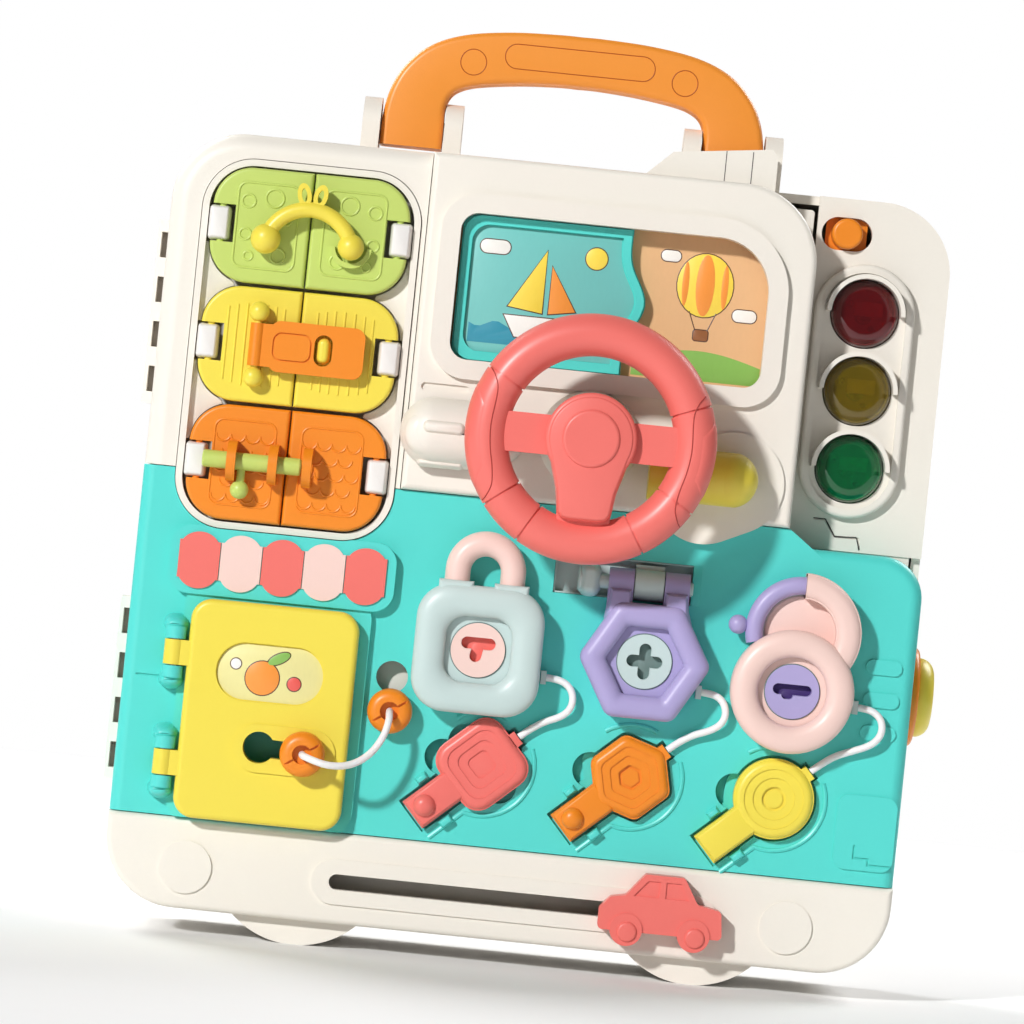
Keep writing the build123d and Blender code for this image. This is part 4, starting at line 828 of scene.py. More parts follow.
@dataclass
class Assembly:
    """A group of pieces and CAD nodes that are dressed together."""

    finishes: Finishes

    def paint_nodes(self, paint: Paint, *nodes: str) -> None:
        """Give CAD nodes a finish.

        Args:
            paint: the finish.
            nodes: names of the nodes.
        """
        material = self.finishes.of(paint)
        for name in nodes:
            node = frame["nodes"][name]
            if not node.material_slots:
                node.data.materials.append(material)
            for slot in node.material_slots:
                slot.material = material
            log.info("node %s wears %s", name, material.name)

    def fit(self, piece: bpy.types.Object, berth: Berth) -> bpy.types.Object:
        """Dress a piece and let it ride on a body.

        Args:
            piece: the mesh.
            berth: where it belongs.

        Returns:
            The piece.
        """
        piece.data.materials.append(self.finishes.of(berth.paint))
        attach(piece, berth.body)
        log.info("piece %s rides on %s", piece.name, berth.body)
        return piece

    def plates(self, name: str, berth: Berth, outlines: Sequence[Sequence[Spot]], back: float, fore: float,
               edge: float = 0.1) -> None:
        """Make one piece of flat plates.

        Args:
            name: the piece's name.
            berth: where it belongs.
            outlines: the plates' outlines.
            back: height of their backs.
            fore: height of their fronts.
            edge: size of their soft edges.
        """
        shape = bmesh.new()
        for outline in outlines:
            add_plate(shape, outline, back, fore, edge)
        self.fit(from_bmesh(shape, name), berth)

    def pads(self, name: str, berth: Berth, outlines: Sequence[Sequence[Spot]], back: float, fore: float,
             reach: float) -> None:
        """Make one piece of pads with round shoulders.

        Args:
            name: the piece's name.
            berth: where it belongs.
            outlines: the pads' outlines.
            back: height of their backs.
            fore: height of their fronts.
            reach: how far in their shoulders go.
        """
        shape = bmesh.new()
        for outline in outlines:
            add_dome(shape, outline, back, fore, reach)
        self.fit(from_bmesh(shape, name), berth)

    def lines(self, name: str, berth: Berth, runs: Sequence[tuple[Sequence[Spot], bool]], height: float,
              radius: float) -> None:
        """Make one piece of raised lines, half sunk in a face.

        Args:
            name: the piece's name.
            berth: where it belongs.
            runs: each line's points, and whether it closes.
            height: the face's height.
            radius: the lines' radius.
        """
        shape = bmesh.new()
        for points, closed in runs:
            add_tube(shape, [at(x, z, height) for x, z in points], radius * MM, closed, 8)
        self.fit(from_bmesh(shape, name), berth)


# ---- Camera and cords ------------------------------------------------------------------------


@dataclass
class Camera:
    """Looks square at the play side, rolled as the board leans."""

    centre: Spot = (-7.66, 151.2)
    distance: float = 1.6
    roll: float = 5.8
    pixels_per_mm: float = 3.0
    sensor: float = 36.0

    def build(self) -> None:
        """Make the camera and use it."""
        lens = bpy.data.cameras.new("studio_camera")
        lens.sensor_width = self.sensor
        lens.lens = self.sensor * self.distance / MM * self.pixels_per_mm / IMAGE_PIXELS
        lens.clip_end = 20.0
        camera = bpy.data.objects.new("studio_camera", lens)
        camera.location = at(*self.centre, 0) - Vector((0, self.distance, 0))
        camera.rotation_euler = (math.radians(90), math.radians(-self.roll), 0)
        bpy.context.scene.collection.objects.link(camera)
        bpy.context.scene.camera = camera


@dataclass
class Cords(Assembly):
    """The cord between the two loose beads, and the three short cords that hold the keys."""

    diameter: float = 2.4
    bead_route: tuple = (
        (-68.5, 64.6, 16.1), (-68.5, 64.6, 21.0), (-65.0, 63.6, 24.2), (-59.6, 62.2, 24.6),
        (-52.6, 62.6, 22.0), (-46.2, 66.6, 18.6), (-42.2, 73.2, 16.6), (-41.0, 79.0, 14.6),
        (-41.4, 81.3, 10.6), (-41.4, 81.3, 5.9),
    )
    square_route: tuple = (
        (9.2, 97.5, 2.8), (13.6, 97.5, 2.8), (18.0, 94.8, 3.6), (19.1, 89.7, 4.4), (16.4, 85.3, 3.6),
        (7.84, 81.96, 2.1), (2.27, 76.94, 2.1),
    )
    hex_route: tuple = (
        (61.0, 97.8, 2.8), (65.4, 97.8, 2.8), (69.2, 95.0, 3.6), (70.0, 90.0, 4.4), (66.8, 85.9, 3.6),
        (57.34, 82.56, 2.1), (51.77, 77.54, 2.1),
    )
    round_route: tuple = (
        (113.3, 98.0, 2.8), (117.5, 98.0, 2.8), (121.7, 95.0, 3.6), (122.2, 89.9, 4.4), (118.9, 85.8, 3.8),
        (112.3, 83.2, 2.8), (105.54, 80.26, 2.1), (99.97, 75.24, 2.1),
    )

    def centreline(self, name: str, route: Sequence[tuple[float, float, float]]) -> bpy.types.Object:
        """A smooth curve whose control points are a route.

        Args:
            name: the curve's name.
            route: x, z and height of each control point.

        Returns:
            The curve.
        """
        curve = bpy.data.curves.new(name, "CURVE")
        curve.dimensions = "3D"
        spline = curve.splines.new("NURBS")
        spline.points.add(len(route) - 1)
        for point, (x, z, height) in zip(spline.points, route):
            point.co = (*at(x, z, height), 1.0)
        spline.order_u = 3
        spline.use_endpoint_u = True
        spline.resolution_u = 12
        piece = bpy.data.objects.new(name, curve)
        bpy.context.scene.collection.objects.link(piece)
        return piece

    def tube_along(self, name: str, line: bpy.types.Object) -> tuple[bpy.types.Object, list[Vector]]:
        """A tube along a curve, as a mesh.

        Args:
            name: the tube's name.
            line: the curve, which is removed.

        Returns:
            The tube and the points that it follows.
        """
        traced = bpy.data.meshes.new_from_object(line)
        points = [vertex.co.copy() for vertex in traced.vertices]
        shape = bmesh.new()
        add_tube(shape, points, self.diameter / 2 * MM, False, 14)
        curve = line.data
        bpy.data.objects.remove(line)
        bpy.data.curves.remove(curve)
        bpy.data.meshes.remove(traced)
        return from_bmesh(shape, name, ROUND_ANGLE), points

    def build(self) -> None:
        """Lay all four cords."""
        bead_cord = self.centreline("bead_cord", self.bead_route)
        bead_cord.data.bevel_depth = self.diameter / 2 * MM
        bead_cord.data.bevel_resolution = 4
        bead_cord.data.use_fill_caps = True
        self.fit(bead_cord, Berth("shop", Paint.CORD, "cord"))
        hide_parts("door_cord")
        at(*self.bead_route[0])
        for shape, route, length in (("square", self.square_route, 0.0345), ("hex", self.hex_route, 0.0345),
                                     ("round", self.round_route, 0.0395)):
            cord, path = self.tube_along(f"{shape}_key_cord", self.centreline(f"{shape}_key_line", route))
            cord.data.materials.append(self.finishes.of(Paint.CORD))
            at(*route[1])
            at(*route[-1])
            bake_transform(cord)
            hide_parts(f"cord_{shape}")
            at(*route[0])
            log.info("piece %s bends between the board and its key", cord.name)


# ---- Case ------------------------------------------------------------------------------------


@dataclass
class Case(Assembly):
    """The finishes of the coloured mouldings, and small parts of the carry case."""

    slots: tuple[str, ...] = (
        "ivory", "teal", "yellow", "orange", "green", "coral", "pink", "ice_blue", "lilac", "peach", "steel",
    )
    rails: Spot = (206.7, 78.6)
    window_sides: Spot = (-135.9, -131.7)
    window_step: float = 15.2
    window_half: float = 4.3
    hinges: Spot = (93.8, 57.2)

    def build(self) -> None:
        """Dress the case and add its small details."""
        for slot in self.slots:
            self.paint_nodes(Paint[slot.upper()], *self.nodes_of(slot))
        self.paint_nodes(Paint.WHITE, "door_knuckles")
        self.paint_nodes(Paint.ICE_BLUE, "board_eyelets")
        self.rail_shade_plates()
        self.lamp_surround()
        self.seams()
        self.shop_ears()
        self.plates("hole_back", CASE_IVORY, [circle((-41.9, 92.5), 8.5)], -8.5, -7.0, 0.3)
        self.plates("track_back", CASE_IVORY, [rounded(-62, 80, 16, 30, 1.0, 3)], -15.0, -14.0, 0.2)
        hubs = [circle((x, 16.6), 3.5) for x in (44.2, 66.8)]
        self.pads("car_hubs", Berth("car", Paint.CORAL, "coral"), hubs, 9.2, 10.6, 1.0)

    def rail_shade_plates(self) -> None:
        """Warm grey plates behind the windows in the side rails: painted shade that stands for their shaded
        inner walls.
        """
        levels = [rail + step * self.window_step for rail in self.rails for step in (-1.5, -0.5, 0.5, 1.5)]
        outlines = [rounded(*self.window_sides, z - self.window_half, z + self.window_half, 0.3, 3)
                    for z in levels]
        # The warm grey is painted shade, not the rails' own colour.
        self.plates("rail_shade_plates", Berth("case", Paint.RAIL_SHADE_GREY, "ivory"), outlines, -35.6, -32.0, 0.1)

    def lamp_surround(self) -> None:
        """Ivory plates that close the case beside and under the lamp panel."""
        self.plates("lamp_surround", CASE_IVORY,
                    [rounded(60, 84, 168, 263, 1.0, 3), rounded(84, 127.5, 138, 153, 1.0, 3)],
                    -26.0, -22.9, 0.2)

    def seams(self) -> None:
        """Thin parting lines on the lamp panel and on the roof."""
        self.lines("panel_seam", Berth("case", Paint.SHADOW, "ivory"), (
            ([(93.9, 159.6), (97.9, 159.6), (101.6, 153.9), (108.9, 154.4), (110.3, 150.2)], False),
        ), -22.0, 0.2)
        self.lines("roof_seams", Berth("case", Paint.SHADOW, "ivory"), (
            ([(51.7, 278.5), (51.7, 266.0)], False), ([(60.6, 279.0), (60.6, 265.0)], False),
        ), -4.65, 0.13)

    def shop_ears(self) -> None:
        """Round ears above and below the shop door's hinges."""
        ears = [ellipse((-115.0, hinge + side * 9.3), 4.5, 3.5) for hinge in self.hinges for side in (-1, 1)]
        self.pads("shop_ears", CASE_TEAL, ears, -1.0, 8.6, 3.0)

    def nodes_of(self, slot: str) -> list[str]:
        """Names of the CAD nodes in a material slot."""
        return [part["node"] for part in frame["record"]["subparts"] if part["material_slot"] == slot]


@dataclass
class Handle(Assembly):
    """The carry handle: a smooth bow with soft edges, with a grip panel and two round marks drawn as dark
    lines of painted shade for their grooves.
    """

    outer: tuple[Spot, ...] = (
        (65.0, 271.1), (65.0, 280.0), (63.2, 290.0), (58.8, 298.6), (51.0, 306.0), (39.5, 310.7),
        (24.0, 313.1), (8.0, 313.9), (0.0, 313.9),
    )
    inner: tuple[Spot, ...] = (
        (44.0, 271.1), (44.0, 279.0), (44.0, 285.0), (42.6, 289.4), (39.2, 292.2), (33.0, 294.1),
        (20.0, 295.9), (7.0, 296.8), (0.0, 296.8),
    )
    back: float = -41.0
    fore: float = -27.0
    soft: float = 2.2

    def build(self) -> None:
        """Make the bow, and draw its marks on its front and back as dark lines of painted shade."""
        outer, inner = smooth(self.outer), smooth(self.inner)
        lines = [line + [(-x, z) for x, z in line[-2::-1]] for line in (outer, inner)]
        shape = bmesh.new()
        add_bow(shape, *lines, self.back, self.fore, self.soft)
        bow = self.fit(from_bmesh(shape, "handle_bow"), Berth("handle", Paint.HANDLE_ORANGE, "orange"))
        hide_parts("carry_handle")
        marks = ((rounded(-25.5, 25.5, 300.8, 309.2, 4.1), True), (circle((-36.0, 301.6), 4.4), True),
                 (circle((36.0, 301.6), 4.4), True))
        # The dark orange is painted shade: it stands for the shadow in the marks' engraved grooves.
        berth = Berth("handle", Paint.GROOVE_SHADE_ORANGE, "orange")
        for name, face in (("front", self.fore), ("back", self.back)):
            self.lines(f"handle_{name}_marks", berth, marks, face, 0.17)


# ---- Printed pictures ------------------------------------------------------------------------


@dataclass
class Print(Assembly):
    """Flat printed motifs on a panel: each shape has a thin ink line round it."""

    ink_line: float = 0.35
    layer: float = 0.05
    depth: float = 0.3
    edge: float = 0.02

    def motif(
        self, name: str, body: str, slot: str, height: float,
        shapes: Sequence[tuple[Paint, Sequence[Spot]]],
    ) -> None:
        """Print shapes one over another, in order.

        Args:
            name: what the motif is called.
            body: the CAD body it rides on.
            slot: the record's slot.
            height: height of the card's face.
            shapes: each shape's ink and outline.
        """
        grown = [inset(outline, -self.ink_line) for _, outline in shapes]
        self.plates(f"{name}_ink", Berth(body, Paint.INK, slot), grown, height - self.depth,
                    height + self.layer, self.edge)
        for number, (paint, outline) in enumerate(shapes):
            self.plates(f"{name}_{number}", Berth(body, paint, slot), [outline], height - self.depth,
                        height + self.layer * (2 + number), self.edge)


@dataclass
class SlidingPicture(Print):
    """A sailing boat on the sliding panel."""

    face: float = -1.1
    left: float = -30.0
    right: float = 25.2
    low: float = 203.2
    high: float = 245.8
    gap: float = 0.3
    free_edge: float = 5.4
    swell: tuple[float, float, float] = (6.0, 224.5, 8.97)

    def card(self) -> list[Spot]:
        """The card inside the panel's rim, with the wave down its free edge."""
        low, high, right = self.low + self.gap, self.high - self.gap, self.right - self.free_edge
        reach, level, spread = self.swell
        corner = rounded(self.left + self.gap, right, low, high, 4.0)
        wave = []
        for step in range(25):
            z = low + (high - low) * step / 24
            wave.append((right + reach * math.exp(-((z - level) / spread) ** 2), z))
        return [spot for spot in corner if spot[0] < self.right - 10] + wave

    def build(self) -> None:
        """Print the panel."""
        face = self.face + 0.1
        self.plates("sliding_card", Berth("picture", Paint.SKY, "teal"), [self.card()], self.face - 0.2, face,
                    0.04)
        sea = [(-28.5, 206.5), (19.0, 206.5), (19.0, 213)] + [
            (19.0 - 47.5 * step / 24, 213 + 1.1 * math.sin(step * math.pi / 3)) for step in range(1, 24)
        ] + [(-28.5, 213)]
        self.plates("sea_print", Berth("picture", Paint.PRINT_SEA, "teal"), [sea], face - self.depth,
                    face + 0.06, self.edge)
        self.motif("boat", "picture", "teal", face + 0.05, (
            (Paint.PRINT_WHITE, [(-17, 216.5), (9, 216.5), (5, 209.5), (-13, 209.5)]),
            (Paint.PRINT_YELLOW, [(-4.5, 218), (-4.5, 239), (-16, 219.5)]),
            (Paint.PRINT_ORANGE, [(-2.4, 218), (-2.4, 234), (6.5, 219.5)]),
        ))
        self.motif("sun", "picture", "teal", face, ((Paint.PRINT_YELLOW, circle((12, 238), 3.6)),))
        self.motif("cloud_left", "picture", "teal", face, (
            (Paint.PRINT_WHITE, rounded(-27, -17, 236.5, 241, 2.2)),
        ))


@dataclass
class FixedPicture(Print):
    """A balloon over hills on the panel behind."""

    face: float = -5.0

    def build(self) -> None:
        """Print the panel."""
        hill = [(27, 201)] + [
            (27 + 43 * step / 20, 207 + 4.0 * math.sin(math.pi * step / 20)) for step in range(21)
        ] + [(70, 201)]
        self.plates("hill_print", Berth("case", Paint.PRINT_GREEN, "peach"), [hill], self.face - self.depth,
                    self.face + self.layer, self.edge)
        self.motif("balloon", "case", "peach", self.face, (
            (Paint.PRINT_YELLOW, ellipse((49, 233), 9.4, 10.6)),
            (Paint.PRINT_BROWN, rounded(46.6, 51.4, 214.5, 218, 0.8)),
        ))
        bands = [ellipse((x, 233), wide, tall)
                 for x, wide, tall in ((49, 3.1, 10.3), (42.4, 1.1, 7.4), (55.6, 1.1, 7.4))]
        self.plates("balloon_bands", Berth("case", Paint.PRINT_ORANGE, "peach"), bands, self.face,
                    self.face + 0.16, self.edge)
        ropes = (([(44.5, 224), (47, 217.8)], False), ([(53.5, 224), (51, 217.8)], False))
        self.lines("balloon_ropes", Berth("case", Paint.INK, "peach"), ropes, self.face, 0.18)
        self.motif("cloud_right", "case", "peach", self.face, (
            (Paint.PRINT_WHITE, rounded(59, 67, 222, 226, 1.9)),
            (Paint.PRINT_WHITE, rounded(33.5, 40, 240, 243.6, 1.7)),
        ))


@dataclass
class ShopPicture(Print):
    """An orange with its leaf in the shop door's oval."""

    centre: Spot = (-82.0, 89.6)
    face: float = 8.3

    def build(self) -> None:
        """Print the oval."""
        x, z = self.centre
        face = self.face + 0.08
        oval = rounded(x - 17.6, x + 17.6, z - 9.3, z + 9.3, 9.2, 10)
        self.plates("shop_card", Berth("shop", Paint.CREAM, "yellow"), [oval], self.face - 0.2, face, 0.04)
        self.motif("fruit", "shop", "yellow", face, (
            (Paint.PRINT_ORANGE, circle((x - 2.5, z - 1.6), 5.6)),
            (Paint.PRINT_GREEN, turned_spots(ellipse((x + 2.5, z + 5.3), 3.9, 1.6), (x + 2.5, z + 5.3), 28)),
        ))
        self.motif("berries", "shop", "yellow", face, (
            (Paint.PRINT_RED, circle((x + 8.2, z - 2.6), 2.2)),
            (Paint.PRINT_WHITE, circle((x - 11.6, z + 2.4), 1.7)),
        ))


# ---- Double doors ----------------------------------------------------------------------------


@dataclass
class DoubleDoors(Assembly):
    """Raised lines on the six leaves, with the white clips and the ivory ledges of their bay."""

    middle_x: float = -84.0
    leaf_width: float = 32.6
    leaf_height: float = 38.4
    face: float = 3.0
    rows: tuple[float, float, float] = (237.4, 197.8, 158.2)
    line: float = 0.42
    corner: float = 13.0
    hinge_offset: float = 29.65
    clip_near: float = 3.0
    clip_far: float = 4.4
    clip_half: float = 5.9
    frame_outer: float = 8.2
    frame_inner: float = 12.2
    frame_half: float = 14.2
    wall_offset: float = 36.3
    ledge_half: float = 6.6
    scale: float = 2.45
    knots: tuple = (
        (-4.0, 9.6, 3.0), (4.6, 8.0, 2.2), (-8.6, 2.6, 1.6), (4.8, -3.0, 1.9), (-6.6, -9.4, 2.4),
        (3.2, -10.2, 1.5),
    )
    grooves: tuple[Spot, ...] = (
        (-11.0, 12.8), (-8.2, 13.4), (-5.2, 13.8), (-2.0, 13.8), (1.4, 13.6), (4.6, 13.0), (7.6, 12.2),
    )

    def leaf_middle(self, side: int) -> float:
        """Middle of a leaf; side is -1 on the left and 1 on the right."""
        return self.middle_x + side * (self.leaf_width / 2 + 0.25)

    def frame_line(self, side: int, row: float) -> list[Spot]:
        """The rounded line inside a leaf's edge."""
        x = self.leaf_middle(side)
        outer, inner = x + side * self.frame_outer, x - side * self.frame_inner
        return rounded(min(outer, inner), max(outer, inner), row - self.frame_half, row + self.frame_half, 3.0)

    def clips(self) -> None:
        """White clips over the six hinges."""
        outlines = []
        for side in (-1, 1):
            hinge = self.middle_x + side * self.hinge_offset
            near, far = hinge - side * self.clip_near, hinge + side * self.clip_far
            for row in self.rows:
                outlines.append(rounded(min(near, far), max(near, far), row - self.clip_half,
                                        row + self.clip_half, 1.5))
        self.pads("hinge_clips", Berth("case", Paint.WHITE, "ivory"), outlines, -2.0, 4.0, 1.4)

    def surround(self) -> None:
        """Ivory ledges of the bay beside and between the leaves."""
        outlines = []
        corner = self.corner + 0.5
        for side in (-1, 1):
            wall = self.middle_x + side * self.wall_offset
            leaf_edge = self.leaf_middle(side) + side * self.leaf_width / 2
            edge, turn_x = leaf_edge + side * 0.5, leaf_edge - side * self.corner
            for upper, lower in zip(self.rows, self.rows[1:]):
                top = upper - self.leaf_height / 2 + self.corner
                base = lower + self.leaf_height / 2 - self.corner
                outline = [(wall, upper - self.ledge_half), (edge, upper - self.ledge_half)]
                outline += [(turn_x + side * corner * math.cos(math.radians(turn)),
                             top - corner * math.sin(math.radians(turn))) for turn in range(0, 76, 6)]
                outline += [(turn_x + side * corner * math.cos(math.radians(turn)),
                             base + corner * math.sin(math.radians(turn))) for turn in range(74, -1, -6)]
                outline += [(edge, lower + self.ledge_half), (wall, lower + self.ledge_half)]
                outlines.append(outline)
        self.plates("bay_ledges", CASE_IVORY, outlines, -4.0, -2.0, 0.05)

    def scales(self, side: int, row: float) -> list[tuple[list[Spot], bool]]:
        """The rows of half rounds on an orange leaf.

        Args:
            side: -1 for the left leaf and 1 for the right one.
            row: the leaf's middle level.

        Returns:
            The half rounds as open lines.
        """
        scales = []
        for step in range(5):
            for along in range(4 - step % 2):
                inwards = 9.5 - along * 2 * self.scale - (step % 2) * self.scale
                middle = (self.leaf_middle(side) - side * inwards, row + 9.4 - step * 5.0)
                scales.append((arc(middle, self.scale, (-22.5 * turn for turn in range(9))), False))
        return scales

    def build(self) -> None:
        """Raise the lines of all the leaves, and finish the bay round them."""
        self.clips()
        self.surround()
        self.pads("hasp_nub", Berth("yellow_right", Paint.YELLOW, "yellow"),
                  [rounded(-77.7, -73.1, 193.6, 202.4, 2.2)], 4.6, 7.7, 1.7)
        for side, word in ((-1, "left"), (1, "right")):
            x = self.leaf_middle(side)
            green, yellow, orange = self.rows
            knots = [(circle((x + dx * side, green + dz), size), True) for dx, dz, size in self.knots]
            planks = [([(x + side * dx, yellow - tall), (x + side * dx, yellow + tall)], False)
                      for dx, tall in self.grooves]
            for colour, runs, line in (
                ("green", [(self.frame_line(side, green), True)] + knots, self.line),
                ("yellow", planks, self.line),
                ("orange", [(self.frame_line(side, orange), True)] + self.scales(side, orange),
                 self.line * 0.85),
            ):
                berth = Berth(f"{colour}_{word}", Paint[colour.upper()], colour)
                self.lines(f"{colour}_{word}_lines", berth, runs, self.face, line)


# ---- Lamps -----------------------------------------------------------------------------------


@dataclass
class TrafficLamps(Assembly):
    """Tinted lenses over reflector bowls, with a white module and two dark pins each."""

    x: float = 104.0
    levels: tuple[float, float, float] = (229.6, 203.4, 177.1)
    bowl: tuple[Spot, ...] = (
        (3.2, -27.9), (6.0, -27.0), (8.4, -25.0), (9.8, -22.2), (9.8, -22.9), (8.6, -25.6), (6.2, -27.6),
        (3.2, -28.15),
    )
    pin: tuple[Spot, ...] = ((0.02, -27.4), (1.0, -27.4), (1.0, -23.4), (0.7, -23.0), (0.02, -22.9))
    pin_spots: tuple[Spot, ...] = ((-5.0, 3.4), (2.9, -4.6))

    def build(self) -> None:
        """Dress the lenses and fill them."""
        for node, paint in (("lamp_red", Paint.LENS_RED), ("lamp_amber", Paint.LENS_AMBER),
                            ("lamp_green", Paint.LENS_GREEN), ("lamp_board", Paint.CIRCUIT)):
            self.paint_nodes(paint, node)
        bowls, pins = bmesh.new(), bmesh.new()
        for z in self.levels:
            add_turned(bowls, self.bowl, (self.x, z))
            for dx, dz in self.pin_spots:
                add_turned(pins, self.pin, (self.x + dx, z + dz), 16)
        modules = [rounded(self.x - 3.4, self.x + 6.2, z - 0.6, z + 4.2, 0.5, 3) for z in self.levels]
        self.plates("lamp_modules", Berth("case", Paint.WHITE, "circuit"), modules, -27.6, -22.6, 0.3)
        self.fit(from_bmesh(bowls, "lamp_reflectors"), Berth("case", Paint.REFLECTOR, "circuit"))
        self.fit(from_bmesh(pins, "lamp_pins"), Berth("case", Paint.SHADOW, "circuit"))


# ---- Steering --------------------------------------------------------------------------------


@dataclass
class Steering(Assembly):
    """Grip panels and seams on the rim, the raised form of the hub, and the ends of the two stalks."""

    centre: Spot = (15.5, 177.4)
    height: float = 36.0
    rim: float = 34.0
    tube: float = 7.0
    proud: float = 0.35
    sunk: float = 0.12
    seam_run: tuple[Spot, ...] = (
        (150, 34), (152, 62), (157, 86), (166, 97), (178, 99), (190, 99), (201, 95), (210, 78), (214, 48),
        (215, 20),
    )

    def on_rim(self, turn: float, lean: float, reach: float) -> Vector:
        """A point of the rim.

        Args:
            turn: angle round the wheel, in degrees from the right.
            lean: angle round the rim's section, in degrees from its outer edge to its front.
            reach: distance from the middle of the section.

        Returns:
            The point in metres.
        """
        radius = self.rim + reach * math.cos(math.radians(lean))
        spot = arc(self.centre, radius, [turn])[0]
        return at(*spot, self.height + reach * math.sin(math.radians(lean)))

    def grip(self, name: str, start: float, end: float) -> None:
        """A thin panel that lies on the outer front of the rim.

        Args:
            name: the panel's name.
            start: angle where it begins, in degrees from the right.
            end: angle where it ends.
        """
        shape = bmesh.new()
        rows = []
        for step in range(29):
            share = step / 28
            taper = min(1.0, 0.35 + 3.0 * min(share, 1 - share))
            row = []
            for place in range(15):
                across = place / 14
                edge = min(1.0, 9.0 * min(across, 1 - across, share, 1 - share))
                reach = self.tube + self.proud * edge - self.sunk
                row.append(shape.verts.new(
                    self.on_rim(start + (end - start) * share, -28 + (104 * taper) * across, reach)))
            rows.append(row)
        for low, high in zip(rows, rows[1:]):
            for place in range(14):
                shape.faces.new((low[place], low[place + 1], high[place + 1], high[place]))
        self.fit(from_bmesh(shape, name, ROUND_ANGLE), Berth("wheel", Paint.CORAL, "coral"))

    def seam(self, name: str, spots: Sequence[Spot]) -> None:
        """A thin parting line on the rim.

        Args:
            name: the piece's name.
            spots: pairs of the angle round the wheel and the angle round the rim's section, in degrees.
        """
        path = [self.on_rim(turn, lean, self.tube + 0.05) for turn, lean in smooth(spots, 4)]
        shape = bmesh.new()
        add_tube(shape, path, 0.18 * MM, False, 8)
        self.fit(from_bmesh(shape, name, ROUND_ANGLE), Berth("wheel", Paint.DEEP_CORAL, "coral"))

    def shield(self) -> None:
        """The raised form of the hub and the lower spoke."""
        x, z = self.centre
        outline = arc(self.centre, 14.4, range(-24, 205, 6))
        left = [(-11.9, -10.5), (-10.0, -17.0), (-8.9, -24.5), (-7.4, -26.4), (-4.4, -27.0)]
        outline += [(x + dx, z + dz) for dx, dz in left]
        outline += [(x - dx, z + dz) for dx, dz in reversed(left)]
        self.pads("hub_shield", Berth("wheel", Paint.CORAL, "coral"), [outline], 40.0, 44.6, 1.4)

    def left_pod(self) -> None:
        """The rounded pod of the turn stalk, with its thumb pad and lower lip."""
        for name, outline, back, fore, reach in (
            ("pod", rounded(-47.5, -12, 163.6, 186.6, 11.4, 12), 4.0, 16.6, 10.2),
            ("pad", rounded(-40, -25.5, 174.2, 179.0, 2.3), 14.0, 18.0, 1.6),
            ("lip", rounded(-41, -25, 163.2, 166.6, 1.6), 4.5, 10.6, 1.5),
        ):
            berth = Berth("turn_stalk", Paint.IVORY, "ivory")
            self.pads(f"turn_stalk_{name}", berth, [outline], back, fore, reach)

    def stalk_cap(self) -> None:
        """The domed end of the wiper stalk, beyond a slanting seam."""
        middle = at(63.0, 169.0, 13.4)
        along = Vector((0.85, -0.52, 0.0)).normalized()
        up = Vector((0, 0, 1))
        across = along.cross(up).normalized()
        radius = 9.3 * MM
        shape = bmesh.new()
        rings = []
        for lean in (math.radians(74 - 74 * step / 12) for step in range(12)):
            centre = middle + along * radius * math.cos(lean)
            rings.append([
                shape.verts.new(centre + radius * math.sin(lean)
                                * (math.cos(turn) * across + math.sin(turn) * up))
                for turn in around(40)
            ])
        skin(shape, rings)
        self.fit(from_bmesh(shape, "wiper_stalk_cap"), Berth("wiper_stalk", Paint.YELLOW, "yellow"))

    def build(self) -> None:
        """Add the grips, the hub's shield and the stalks' ends."""
        self.grip("left_grip", 156, 211)
        self.grip("right_grip", -25, 15)
        self.seam("left_seam", self.seam_run)
        self.seam("right_seam", [(176 - turn, lean) for turn, lean in self.seam_run])
        self.shield()
        self.left_pod()
        self.stalk_cap()


# ---- Locks and keys --------------------------------------------------------------------------


